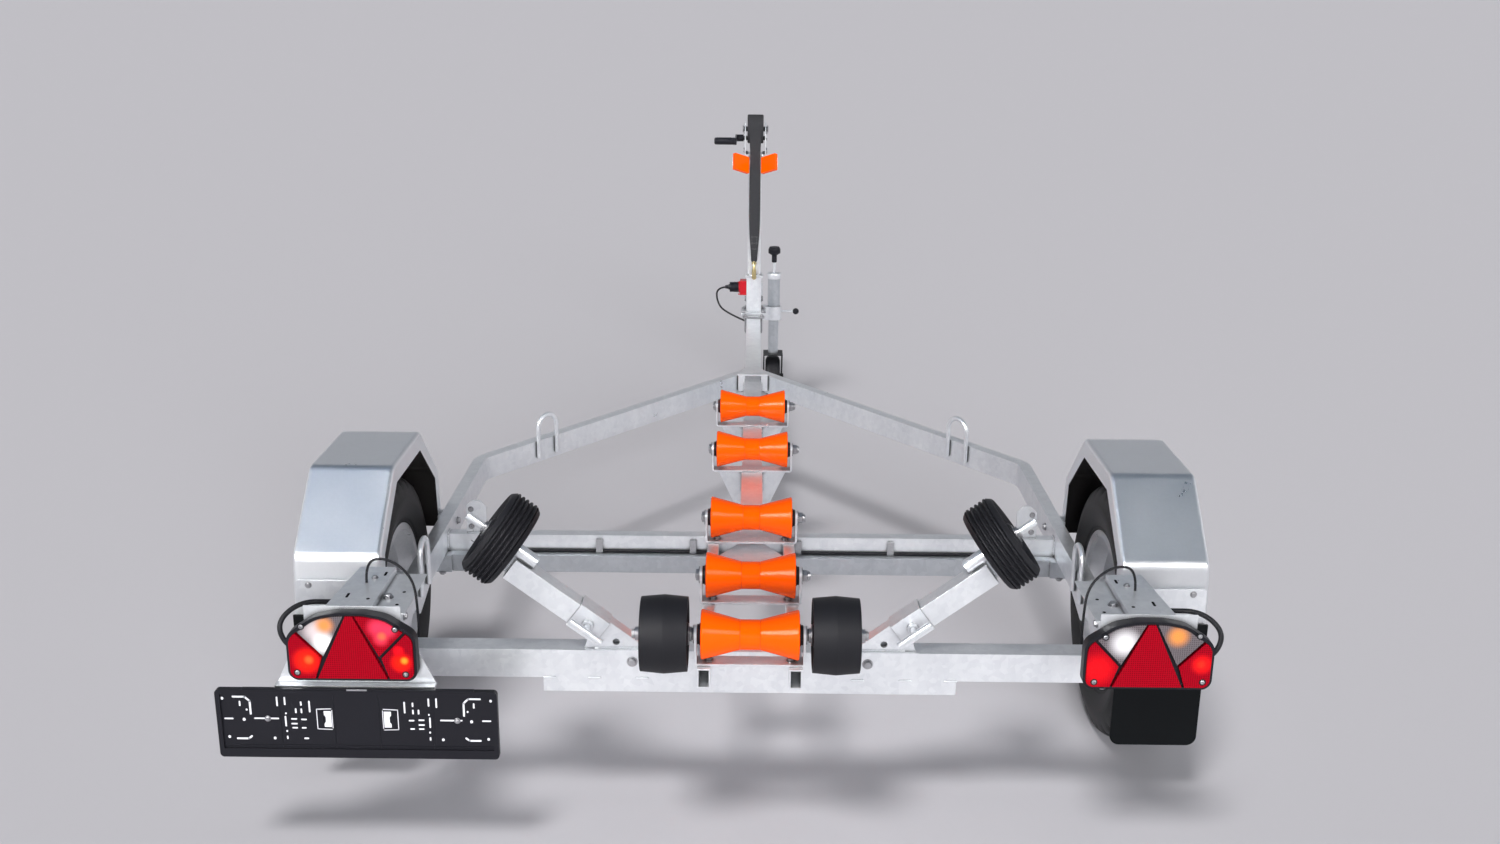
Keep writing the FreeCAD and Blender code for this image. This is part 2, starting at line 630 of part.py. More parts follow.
def make_mudguards():
    """Folded sheet guards: a crown of flat stretches with side bands, open underneath."""
    near = track_half() - cell.tyre_half - cell.guard_gap_in
    wide = 2 * cell.tyre_half + cell.guard_gap_in + cell.guard_gap_out
    middle = near + wide / 2
    radius, foot = cell.tyre_radius, guard_foot()
    crown, shoulder = cell.guard_crown_half, radius - cell.guard_shoulder_in
    top, bend = 2 * radius + cell.guard_crown_gap, radius + cell.guard_shoulder_rise
    low = cell.guard_foot_z
    body = plate("guard", "YZ", [[(-foot, low), (foot, low), (shoulder, bend), (crown, top),
                                  (-crown, top), (-shoulder, bend)]], wide, at=(middle, 0, 0))
    soften(body, cell.guard_bend,
           lambda edge, at: runs_along(Vector(1, 0, 0))(edge, at) and at.z > number(low) + 1)
    ends = number(wide) / 2
    soften(body, cell.guard_edge,
           lambda edge, at: abs(abs(at.x) - ends) < 0.01 and at.z > number(low) + 1)
    doc.recompute()
    solid = body.Tip
    shell = body.newObject("PartDesign::Thickness", "guard_shell")
    floor = next("Face%d" % index for index, face in enumerate(solid.Shape.Faces, 1)
                 if face.CenterOfMass.z < number(low) + 1)
    shell.Base = (solid, [floor])
    bind(shell, "Value", cell.sheet_thick)
    shell.Reversed = True
    body.Tip = shell
    lip = cell.guard_lip
    arch = plate("guard_arch", "YZ", [[
        (lip - foot, low - cell.overrun), (foot - lip, low - cell.overrun),
        (shoulder - lip * 0.95, bend - lip * 0.25), (crown - lip * 0.4, top - lip),
        (lip * 0.4 - crown, top - lip), (lip * 0.95 - shoulder, bend - lip * 0.25)]],
        wide + 2 * cell.overrun, at=(middle, 0, 0))
    guard = cut("guard_cut", body, arch)
    node("mudguard_right", group("mudguard", guard))
    node("mudguard_left", mirrored("mudguard_mirror", guard))

    under = low + cell.run_gap
    tabs = []
    for name, y in (("front", foot - cell.guard_tab_deep - cell.overrun),
                    ("rear", cell.overrun - foot)):
        tab = block("guard_tab_" + name,
                    (near - cell.rail_face_x, cell.guard_tab_deep, cell.guard_tab_tall),
                    (cell.rail_face_x, y, under))
        tabs += [tab, mirrored("guard_tab_%s_left" % name, tab)]
    node("mudguard_spacers", group("mudguard_spacers", *tabs))

    flap = plate("flap", "XZ", [rectangle(-wide / 2, wide / 2, cell.flap_bottom, cell.flap_top)],
                 cell.flap_thick, at=(middle, -foot - cell.run_gap - cell.flap_thick / 2, 0))
    soften(flap, cell.flap_round,
           lambda edge, at: runs_along(Vector(0, 1, 0))(edge, at)
           and at.z < number(cell.flap_bottom) + 1)
    node("mudflaps", pair("mudflaps", flap))


ROLLERS = [("keel_roller_1", cell.roller1_y), ("keel_roller_2", cell.roller2_y),
           ("keel_roller_3", cell.roller3_y), ("keel_roller_4", cell.roller4_y),
           ("keel_roller_5", cell.roller5_y)]


def roller_bracket(name, y, yoke):
    """A bent flat strip with rounded ears; on the drawbar it has a tapered yoke."""
    thick = cell.strip_thick
    inner = cell.roller_half + cell.roller_side_gap
    outer = inner + thick
    top = cell.roller_z + cell.strip_wide / 2
    base = cell.deck_z
    strip = plate(name + "_strip", "XZ", [[
        (-outer, base), (outer, base), (outer, top), (inner, top), (inner, base + thick),
        (-inner, base + thick), (-inner, top), (-outer, top)]], cell.strip_wide, at=(0, y, 0))
    along = runs_along(Vector(0, 1, 0))
    soften(strip, cell.strip_bend, lambda edge, at: along(edge, at) and at.z < number(base) + 1)
    across = runs_along(Vector(1, 0, 0))
    soften(strip, cell.strip_wide / 2 - cell.run_gap,
           lambda edge, at: across(edge, at) and at.z > number(top) - 1)
    hole = rod(name + "_hole", cell.pin_radius + cell.run_gap, 2 * (outer + cell.overrun),
               (-outer - cell.overrun, y, cell.roller_z), **TURN_X)
    bracket = cut(name + "_bent", strip, hole)
    if not yoke:
        return bracket
    side = cell.drawbar_wide / 2
    under = base - cell.drawbar_tall
    foot, low, wide = cell.yoke_foot_half, cell.yoke_bottom, cell.yoke_half
    web = plate(name + "_yoke", "XZ", [[
        (-foot, low), (foot, low), (wide, base), (side, base), (side, under), (-side, under),
        (-side, base), (-wide, base)]], cell.yoke_thick, at=(0, y, 0))
    return fuse(name + "_yoked", bracket, web)


def roller_outline():
    """The waisted keel roller with its hub ends, half a section."""
    half, end, flat = cell.roller_half, cell.roller_radius, cell.waist_half
    bore = cell.pin_radius + cell.run_gap
    reach = half + cell.roller_side_gap - cell.roller_hub_gap
    hub = cell.roller_hub_radius
    return [(-reach, bore), (reach, bore), (reach, hub), (half, hub), (half, end),
            (flat, cell.waist_radius), (-flat, cell.waist_radius), (-half, end), (-half, hub),
            (-reach, hub)]


def make_keel_rollers():
    cradle = [roller_bracket("bracket_%d" % (index + 1), ROLLERS[index][1], False)
              for index in range(3)]
    node("cradle_brackets", group("cradle_brackets", *cradle))
    drawbar = [roller_bracket("bracket_%d" % (index + 1), ROLLERS[index][1], True)
               for index in (3, 4)]
    node("drawbar_brackets", group("drawbar_brackets", *drawbar))
    pins = []
    outer = cell.roller_half + cell.roller_side_gap + cell.strip_thick
    for index, (label, y) in enumerate(ROLLERS):
        roller = turned(label, roller_outline(), at=(0, y, cell.roller_z))
        soften(roller, cell.run_gap * 10,
               lambda edge, at: edge.Curve.TypeId == "Part::GeomCircle"
               and edge.Curve.Radius > number(cell.roller_radius) - 1)
        node(label, roller)
        if index == 0:
            reach = cell.shaft_half
            shaft = rod("shaft", cell.pin_radius, 2 * reach, (-reach, y, cell.roller_z), **TURN_X)
            spare = cell.side_x - cell.side_half - outer - cell.run_gap
            nut = hexagon("shaft_nut", cell.head_radius, spare, (outer, y, cell.roller_z), **TURN_X)
            cap = rod("shaft_cap", cell.head_radius,
                      reach - cell.side_x - cell.side_half - cell.run_gap,
                      (cell.side_x + cell.side_half + cell.run_gap, y, cell.roller_z), **TURN_X)
            pins.append(fuse("pin_1", shaft, nut, cap, mirrored("shaft_nut_left", nut),
                             mirrored("shaft_cap_left", cap)))
            continue
        end = outer + cell.nut_thick + cell.pin_end
        shaft = rod("pin_shaft_%d" % (index + 1), cell.pin_radius, outer + end,
                    (-outer, y, cell.roller_z), **TURN_X)
        head = hexagon("pin_head_%d" % (index + 1), cell.head_radius, cell.head_thick,
                       (-outer, y, cell.roller_z), **TURN_BACK_X)
        nut = hexagon("pin_nut_%d" % (index + 1), cell.head_radius, cell.nut_thick,
                      (outer, y, cell.roller_z), **TURN_X)
        pins.append(fuse("pin_%d" % (index + 1), shaft, head, nut))
    node("roller_pins", group("roller_pins", *pins))

    half, hub, sink = cell.side_half, cell.side_hub_radius, cell.side_hub_depth
    bore = cell.pin_radius + cell.run_gap
    side = turned("side_roller", [
        (-half, bore), (half, bore), (half, hub), (half - sink, hub + sink),
        (half - sink, cell.side_edge_radius - 2 * sink), (half, cell.side_edge_radius - sink),
        (half, cell.side_edge_radius), (0, cell.side_radius), (-half, cell.side_edge_radius),
        (-half, cell.side_edge_radius - sink), (sink - half, cell.side_edge_radius - 2 * sink),
        (sink - half, hub + sink), (-half, hub)],
        at=(cell.side_x, cell.roller1_y, cell.roller_z))
    node("side_roller_right", group("side_roller_placed", side))
    node("side_roller_left", mirrored("side_roller_mirror", side))


def along_support(out, up):
    """A point in the support's plane: along its arm from its end, and square to the arm."""
    way, rise = cosine(cell.support_tilt), sine(cell.support_tilt)
    return (cell.support_end_x + out * way - up * rise, cell.support_y,
            cell.support_end_z + out * rise + up * way)


def make_supports():
    """Sloping sleeves on the rear beam, sliding arms, and their grooved wheels."""
    base = cell.deck_z - cell.cradle_tall
    tilt = {"axis": Vector(0, -1, 0), "angle": cell.support_tilt}
    way, rise = cosine(cell.support_tilt), sine(cell.support_tilt)
    half = cell.sleeve_tall / 2
    back = (cell.support_end_z - base - half * way - cell.sleeve_lift) / rise
    sleeve_at = along_support(-back + cell.sleeve_long / 2, 0)
    window = rectangle(-cell.arm_tall / 2 - cell.run_gap, cell.arm_tall / 2 + cell.run_gap,
                       -cell.arm_deep / 2 - cell.run_gap, cell.arm_deep / 2 + cell.run_gap)
    frame = rectangle(-half, half, -cell.sleeve_deep / 2, cell.sleeve_deep / 2)
    swap = [[(v, u) for u, v in outline] for outline in (frame, window)]
    sleeve = plate("sleeve_tube", "YZ", swap, cell.sleeve_long, at=sleeve_at, **tilt)
    high, low = along_support(-back, half), along_support(-back, -half)
    under = along_support(-back + cell.gusset_under, -half)
    start, thick, lip = cell.gusset_in_x, cell.gusset_thick, base + cell.gusset_lip
    outline = [(start, base), (cell.gusset_out_x, base), (under[0], under[2]), (low[0], low[2]),
               (high[0], high[2]), (start, lip)]
    channel = plate("gusset", "XZ", [outline], cell.gusset_deep, at=(0, cell.support_y, 0))
    far, floor = cell.gusset_out_x + cell.overrun, base - cell.overrun
    drop = high[2] - thick * 1.3
    bay = plate("gusset_bay", "XZ", [[
        (start + 2 * thick, floor), (far, floor), (far, drop), (high[0], drop),
        (start + 2 * thick, lip)]], cell.gusset_deep - 2 * thick, at=(0, cell.support_y, 0))
    hole = rod("gusset_hole", cell.gusset_hole, cell.gusset_deep + 2 * cell.overrun,
               (start + cell.sleeve_tall, cell.support_y - cell.gusset_deep / 2 - cell.overrun,
                base + cell.gusset_hole * 2), **TURN_Y)
    sleeves = [sleeve, cut("gusset_channel", channel, bay, hole)]

    length = back - cell.overrun
    ring = rectangle(-cell.arm_deep / 2, cell.arm_deep / 2, -cell.arm_tall / 2, cell.arm_tall / 2)
    wall = cell.arm_wall
    hollow = rectangle(wall - cell.arm_deep / 2, cell.arm_deep / 2 - wall,
                       wall - cell.arm_tall / 2, cell.arm_tall / 2 - wall)
    arm = plate("support_tube", "YZ", [ring, hollow], length, at=along_support(-length / 2, 0),
                **tilt)
    up = cell.arm_tall / 2 + cell.bush_radius - cell.bush_weld
    near = cell.support_wheel_gap - cell.run_gap - cell.bush_long
    across = {"axis": Vector(0, 1, 0), "angle": 90 - cell.support_tilt}
    bush = rod("support_bush", cell.bush_radius, cell.bush_long, along_support(near, up), **across)
    tail = 2 * cell.support_wheel_half + cell.axle_rod_tail
    axle = rod("support_axle", cell.axle_rod_radius, tail + cell.run_gap,
               along_support(cell.support_wheel_gap - cell.run_gap, up), **across)
    node("support_arms", pair("support_arms", fuse("support_arm", arm, bush, axle)))

    stud_at = along_support(-back + cell.sleeve_long * 0.5, 0)
    face = cell.support_y - cell.sleeve_deep / 2
    stud = rod("clamp_stud", cell.clamp_radius, cell.clamp_reach,
               (stud_at[0], face, stud_at[2]), **TURN_BACK_Y)
    boss = rod("clamp_boss", cell.clamp_boss_radius, cell.clamp_boss_long,
               (stud_at[0], face, stud_at[2]), **TURN_BACK_Y)
    bar_low = along_support(-back + cell.sleeve_long * 0.5 - cell.clamp_bar_half, 0)
    bar = rod("clamp_bar", cell.clamp_bar_radius, 2 * cell.clamp_bar_half,
              (bar_low[0], face - cell.clamp_reach, bar_low[2]), **across)
    node("support_sleeves", pair("support_sleeves",
                                 fuse("support_sleeve", *sleeves, stud, boss, bar)))

    half, edge = cell.support_wheel_half, cell.support_wheel_edge
    shoulder, radius = cell.support_wheel_shoulder, cell.support_wheel_radius
    bore = cell.axle_rod_radius + cell.run_gap
    wheel = turned("support_wheel", [
        (-half, bore), (half, bore), (half, cell.support_hub_radius),
        (shoulder, cell.support_hub_radius + cell.overrun),
        (shoulder, edge - 2 * cell.overrun), (half, edge - cell.overrun), (half, edge),
        (shoulder, radius), (-shoulder, radius), (-half, edge), (-half, edge - cell.overrun),
        (-shoulder, edge - 2 * cell.overrun), (-shoulder, cell.support_hub_radius + cell.overrun),
        (-half, cell.support_hub_radius)],
        at=along_support(cell.support_wheel_gap + half, up), **tilt)
    node("support_wheel_right", group("support_wheel_placed", wheel))
    node("support_wheel_left", mirrored("support_wheel_mirror", wheel))


def make_lashing_loops(turn):
    """Bent rod loops on the arms and on the inner faces of the rails."""
    top = cell.deck_z - cell.cradle_tall + cell.rail_tall
    half, rise, leg, thick = cell.loop_half, cell.loop_rise, cell.loop_leg, cell.loop_rod

    def loop(name, at, along):
        """Legs against a face, in the plane of a direction along the member."""
        points = [(-half, -leg), (-half, rise), (half, rise), (half, -leg)]
        return bent_rod(name, thick, [
            (at[0] + u * along[0], at[1] + u * along[1], at[2] + v) for u, v in points], 0.49)

    inner = cell.rail_face_x - cell.rail_wide - thick - cell.run_gap
    rear = loop("rear_loop", (inner, -cell.rear_loop_behind, top), (0, 1))
    slope = tangent(turn)
    rail_inner = cell.rail_face_x - cell.rail_wide
    bend_in = cell.bend_ahead - cell.rail_wide / 2 * tangent(turn / 2)
    on_face = bend_in + (rail_inner - cell.front_loop_x) / slope
    off = thick + cell.run_gap
    front = loop("front_loop", (cell.front_loop_x - off * cosine(turn),
                                on_face - off * sine(turn), top),
                 (-sine(turn), cosine(turn)))
    node("lashing_loops", group("lashing_loops", rear, mirrored("rear_loop_left", rear),
                                front, mirrored("front_loop_left", front)))


def lamp_face(name, border, thick, y):
    """The front of a lamp: straight foot and sides, arched brow, all corners round."""
    half, low = cell.lamp_half - border, border - cell.lamp_low
    brow, side, cheek = cell.lamp_high - border, cell.lamp_brow - border, cell.lamp_cheek - border
    face = plate(name, "XZ", [[
        (-half, low), (half, low), (half, cheek), (half * 0.55, side), (half * 0.2, brow),
        (-half * 0.2, brow), (-half * 0.55, side), (-half, cheek)]], thick,
        at=(cell.lamp_x, y, cell.lamp_z))
    level = runs_along(Vector(0, 1, 0))
    soften(face, cell.lamp_round - border,
           lambda edge, at: level(edge, at) and at.z < number(low) + 1)
    soften(face, cell.lamp_round * 1.5 - border,
           lambda edge, at: level(edge, at) and abs(abs(at.x) - number(half)) < 1
           and abs(at.z - number(cheek)) < 1)
    soften(face, cell.lamp_round * 3,
           lambda edge, at: level(edge, at) and abs(at.x) < number(half) * 0.6
           and at.z > number(side) - 1)
    return face


def console_start():
    """Where the lamp consoles begin, behind the mudguards."""
    return guard_foot() + cell.console_gap


def make_lamps():
    """Housings with lenses of three colours, on folded consoles over the rail ends."""
    deep = cell.lamp_deep
    rear = -cell.lamp_behind
    sink = cell.lens_sink
    housing = lamp_face("lamp_shell", 0, deep, rear + deep / 2)
    hollow = lamp_face("lamp_hollow", cell.lens_border, 2 * sink, rear)
    node("lamp_housings", pair("lamp_housings", cut("lamp_housing", housing, hollow)))

    border, gap, run = cell.lens_border, cell.lens_gap, cell.run_gap
    half, low = cell.lamp_half - border, border - cell.lamp_low
    brow = cell.lamp_high - border
    thick = sink + cell.lens_proud
    middle = rear + sink - thick / 2
    apex, foot = half * 0.04, half * 0.58
    tip_x, tip_z = half * 0.45, low * 0.25
    reach = half + cell.overrun
    shoulder = low * -0.6

    def lens(name, outline):
        """A piece of the lamp's face, a little inside its rim."""
        prism = plate(name + "_cut", "XZ", [outline], thick, at=(cell.lamp_x, middle, cell.lamp_z))
        face = lamp_face(name + "_face", border + run, thick, middle)
        piece = doc.addObject("Part::MultiCommon", name)
        piece.Shapes = [prism, face]
        return piece

    centre_lens = lens("lens_centre", [(-foot, low - gap), (foot, low - gap), (apex, brow + gap),
                                       (-apex, brow + gap)])
    upper = lens("lens_upper", [(apex + gap, brow + gap), (reach * 0.8, brow + gap),
                                (reach * 0.84, shoulder), (tip_x, tip_z)])
    outer = lens("lens_outer", [(foot + gap, low - gap), (reach, low - gap), (reach, shoulder),
                                (reach * 0.84 + gap, shoulder - gap), (tip_x + gap, tip_z - gap)])

    def flipped(name, piece):
        """The lens on the other half of the same lamp."""
        other = doc.addObject("Part::Mirroring", name)
        other.Source = piece
        other.Normal = Vector(1, 0, 0)
        bind(other, "Base.x", cell.lamp_x)
        return other

    inner = flipped("lens_inner", outer)
    upper_in = flipped("lens_upper_inner", upper)
    right_red = [centre_lens, outer, inner]
    red = right_red + [mirrored(piece.Name + "_left", piece) for piece in right_red]
    red.append(mirrored("lens_fog_left", upper_in))
    node("red_lenses", group("red_lenses", *red))
    clear = [upper, upper_in, mirrored("lens_reverse_left", upper)]
    node("clear_lenses", group("clear_lenses", *clear))

    gauge = cell.sheet_thick
    back = rear + deep
    rail_top = cell.deck_z - cell.cradle_tall + cell.rail_tall
    rail_in = cell.rail_face_x - cell.rail_wide
    top = cell.console_top
    mount = plate("lamp_mount", "XZ",
                  [rectangle(-cell.mount_half, cell.mount_half, cell.mount_low, cell.mount_high)],
                  gauge, at=(cell.lamp_x, back + gauge / 2, 0))
    roof = plate("lamp_roof", "XY", [[(cell.console_in_x, back), (cell.console_out_x, back),
                                      (cell.console_nose_x, -console_start()),
                                      (cell.console_in_x, -console_start())]], gauge,
                 at=(0, 0, top - gauge / 2))
    shoulder_top = top - cell.channel_drop
    shelf = block("lamp_shelf", (cell.console_in_x - cell.channel_in_x + gauge,
                                 cell.lamp_behind - deep - console_start(), gauge),
                  (cell.channel_in_x, back, shoulder_top - gauge))
    step = block("lamp_step", (gauge, cell.lamp_behind - deep - console_start(),
                               cell.channel_drop + gauge),
                 (cell.console_in_x, back, shoulder_top - gauge))
    leg = block("lamp_leg", (cell.rail_wide, cell.rail_behind - console_start(), top - rail_top),
                (rail_in, -cell.rail_behind, rail_top))
    leg_hollow = block("lamp_leg_hollow",
                       (cell.rail_wide - 2 * gauge, cell.rail_behind - console_start(),
                        top - rail_top - gauge),
                       (rail_in + gauge, -cell.rail_behind - gauge, rail_top - gauge))
    web = block("lamp_web", (gauge, cell.lamp_behind - deep - cell.rail_behind, top - cell.mount_low),
                (rail_in, back, cell.mount_low))
    rear_web = block("lamp_riser", (2 * cell.mount_half, gauge, top - cell.mount_high),
                     (cell.lamp_x - cell.mount_half, back, cell.mount_high))
    node("lamp_brackets", pair("lamp_brackets", fuse(
        "lamp_bracket", mount, roof, shelf, step, cut("lamp_leg_open", leg, leg_hollow), web,
        rear_web)))


def make_plate_holder():
    """A ribbed plastic holder for the number plate, on a tapered sheet carrier."""
    half, thick = cell.plate_half, cell.plate_thick
    x, rear = -cell.plate_x, -cell.plate_behind
    low, high = cell.plate_z - cell.plate_tall / 2, cell.plate_z + cell.plate_tall / 2
    slab = plate("plate_slab", "XZ", [rectangle(-half, half, low, high)], thick,
                 at=(x, rear + thick / 2, 0))
    soften(slab, cell.plate_round, runs_along(Vector(0, 1, 0)))
    rim, depth = cell.plate_rim, cell.plate_recess
    recess = block("plate_recess", (2 * (half - rim), depth + cell.overrun,
                                    cell.plate_tall - 3 * rim),
                   (x - half + rim, rear - cell.overrun, low + 2 * rim))
    node("plate_holder", cut("plate_holder", slab, recess))
    gauge = cell.carrier_thick
    top, foot = cell.carrier_top_half, cell.carrier_foot_half
    lamp_x = -cell.lamp_x
    face = rear + thick + gauge / 2
    bend = cell.carrier_shelf
    sheet_piece = plate("carrier_face", "XZ", [rectangle(-foot, foot, cell.carrier_low, bend)],
                        gauge, at=(lamp_x, face, 0))
    back = -cell.lamp_behind + cell.lamp_deep
    shelf = block("carrier_shelf", (2 * foot, back + gauge - (rear + thick), gauge),
                  (lamp_x - foot, rear + thick, bend - gauge))
    notch, sill = cell.mount_half + cell.run_gap, cell.mount_low - cell.run_gap
    riser = plate("carrier_riser", "XZ", [[
        (-foot, bend - gauge), (foot, bend - gauge), (top, cell.carrier_top),
        (notch, cell.carrier_top), (notch, sill), (-notch, sill), (-notch, cell.carrier_top),
        (-top, cell.carrier_top)]], gauge, at=(lamp_x, back + gauge / 2, 0))
    node("plate_carrier", fuse("plate_carrier", sheet_piece, shelf, riser))


def post_line():
    """The winch post's middle, a fixed way behind the drawbar's end."""
    return cell.drawbar_ahead - cell.post_behind


def strap_middle():
    """Where the webbing hangs, behind the roll."""
    return post_line() - cell.roll_radius - cell.strap_gap - cell.strap_thick / 2


def eye_height():
    """The middle of the bar that the hook hangs in, just above the collar."""
    return cell.deck_z + cell.flange_thick + cell.socket_tall + cell.collar_thick \
        + cell.eye_radius + cell.run_gap


def make_winch_post():
    side, y, base = cell.flange_side / 2, post_line(), cell.deck_z
    flange = block("post_flange", (2 * side, 2 * side, cell.flange_thick), (-side, y - side, base))
    socket_low = base + cell.flange_thick
    half = cell.socket_side / 2
    socket = square_tube("post_socket", "Z", cell.socket_tall, 2 * half, 2 * half, cell.tube_wall,
                         (-half, y - half, socket_low))
    collar_low = socket_low + cell.socket_tall
    half = cell.collar_side / 2
    collar = block("post_collar", (2 * half, 2 * half, cell.collar_thick),
                   (-half, y - half, collar_low))
    half = cell.post_side / 2
    column_low = collar_low + cell.collar_thick
    column = square_tube("post_column", "Z", cell.post_top - column_low, 2 * half, 2 * half,
                         cell.tube_wall, (-half, y - half, column_low))

    rear, wide = strap_middle(), cell.eye_half
    z = eye_height()
    eye = bent_rod("strap_eye", cell.eye_radius, [
        (-wide, y - half, z), (-wide, rear, z), (wide, rear, z), (wide, y - half, z)])
    node("winch_post", fuse("winch_post", flange, socket, collar, column, eye))


def make_winch():
    """A geared hand winch: bent side frame, drum with its strap roll, and a crank."""
    y, top = post_line(), cell.post_top
    half, thick = cell.winch_half, cell.winch_plate_thick
    base = block("winch_base", (2 * half, cell.winch_top_plate, thick),
                 (-half, y - cell.winch_top_plate / 2, top))
    deep = cell.winch_top_plate / 2
    ear, crank_y = cell.winch_ear_radius, cell.crank_ahead
    low = top
    cheek_outline = [(-deep, low), (crank_y + ear / 2, low),
                     (crank_y + ear, cell.drum_z - cell.crank_drop + ear / 2),
                     (ear, cell.drum_z + ear), (-ear, cell.drum_z + ear), (-deep, cell.drum_z)]
    shaft_z = cell.drum_z
    crank_z = shaft_z - cell.crank_drop
    holes = [(0, shaft_z, cell.drum_shaft_radius + cell.run_gap),
             (crank_y, crank_z, cell.crank_shaft_radius + cell.run_gap)]
    cheek = plate("winch_cheek", "YZ", [cheek_outline], thick, circles=holes,
                  at=(half - thick / 2, y, 0))
    node("winch_frame", fuse("winch_frame", base, cheek, mirrored("winch_cheek_left", cheek)))

    roll, reach = cell.roll_half, half + thick * 2
    radius, shaft = cell.roll_radius, cell.drum_shaft_radius
    node("winch_drum", turned("winch_drum", [
        (-reach, 0), (reach, 0), (reach, shaft), (roll, shaft), (roll, radius - thick),
        (roll - thick, radius), (thick - roll, radius), (-roll, radius - thick), (-roll, shaft),
        (-reach, shaft)], at=(0, y, shaft_z)))

    axis_y = y + crank_y
    shaft_x = cell.crank_x
    end = shaft_x + cell.crank_arm_thick
    crank_shaft = rod("crank_shaft", cell.crank_shaft_radius, end + half,
                      (-end, axis_y, crank_z), **TURN_X)
    boss = rod("crank_boss", cell.crank_boss_radius, shaft_x - half - cell.overrun,
               (-shaft_x, axis_y, crank_z), **TURN_X)
    wide = cell.crank_arm_wide / 2
    arm = block("crank_arm", (cell.crank_arm_thick, cell.crank_arm_long, 2 * wide),
                (-end, axis_y - cell.crank_arm_long + wide, crank_z - wide))
    grip = rod("crank_grip", cell.grip_radius, cell.grip_long,
               (-end, axis_y - cell.crank_arm_long + 2 * wide, crank_z), **TURN_BACK_X)
    node("winch_crank", fuse("winch_crank", crank_shaft, boss, arm, grip))


def make_bow_stop():
    """Two flat pads in a leaning V, on a bent plate banded to the post."""
    inner, outer, deep, thick = cell.stop_inner, cell.stop_outer, cell.stop_depth, cell.stop_thick
    lean = {"axis": Vector(-1, 0, 0), "angle": cell.stop_lean}
    at = (0, (post_line() - cell.stop_behind), cell.stop_z)
    spread = arc_tangent(deep / (outer - inner))
    gauge = cell.stop_plate

    def strip_outline(near, far):
        """A strip parallel to the pad's face, between two distances behind it."""
        return [(inner + near * sine(spread), near * cosine(spread)),
                (outer + near * sine(spread), near * cosine(spread) - deep),
                (outer + far * sine(spread), far * cosine(spread) - deep),
                (inner + far * sine(spread), far * cosine(spread))]

    pad_piece = plate("stop_pad", "XY", [strip_outline(0, thick)], cell.stop_tall, at=at, **lean)
    node("bow_pads", pair("bow_pads", pad_piece))
    wing = plate("stop_wing", "XY", [strip_outline(thick, thick + gauge)], cell.stop_band,
                 at=at, **lean)
    post_face = post_line() - cell.post_side / 2
    band_half = cell.post_side / 2 + gauge
    band = block("stop_band", (2 * band_half, cell.post_side + gauge, cell.stop_band),
                 (-band_half, post_face - gauge, cell.stop_z - cell.stop_band / 2))
    hollow = block("stop_band_hollow", (cell.post_side, cell.post_side + cell.overrun,
                                        cell.stop_band + 2 * cell.overrun),
                   (-cell.post_side / 2, post_face,
                    cell.stop_z - cell.stop_band / 2 - cell.overrun))
    clip = cut("stop_clip", band, hollow)
    rise = cell.stop_band / 2
    shift, ahead = rise * tangent(cell.stop_lean), cell.stop_behind
    tie = plate("stop_tie", "YZ", [[(thick * 0.84 - shift, -rise), (ahead, -rise), (ahead, rise),
                                    (thick * 0.84 + shift, rise)]], cell.stop_tie,
                at=(band_half + cell.stop_tie / 2, (post_line() - cell.stop_behind), cell.stop_z))
    node("bow_stop_bracket", fuse("bow_stop_bracket", clip, wing, mirrored("stop_wing_left", wing),
                                  tie, mirrored("stop_tie_left", tie)))


def make_strap():
    """Webbing from the roll down to the hook on the post's eye."""
    thick, middle = cell.strap_thick, strap_middle()
    node("winch_strap", block("winch_strap", (cell.strap_wide, thick, cell.drum_z - cell.strap_low),
                              (-cell.strap_wide / 2, middle - thick / 2, cell.strap_low)))
    bar, out, neck = cell.hook_radius, cell.hook_out, cell.strap_low - cell.hook_neck
    low = eye_height() - cell.eye_radius - cell.hook_radius - cell.run_gap
    node("snap_hook", bent_rod("snap_hook", bar, [
        (0, middle, cell.strap_low - cell.run_gap), (0, middle, neck),
        (0, middle - out, neck - out), (0, middle - out, low), (0, middle + out, low),
        (0, middle + out, neck - out)]))


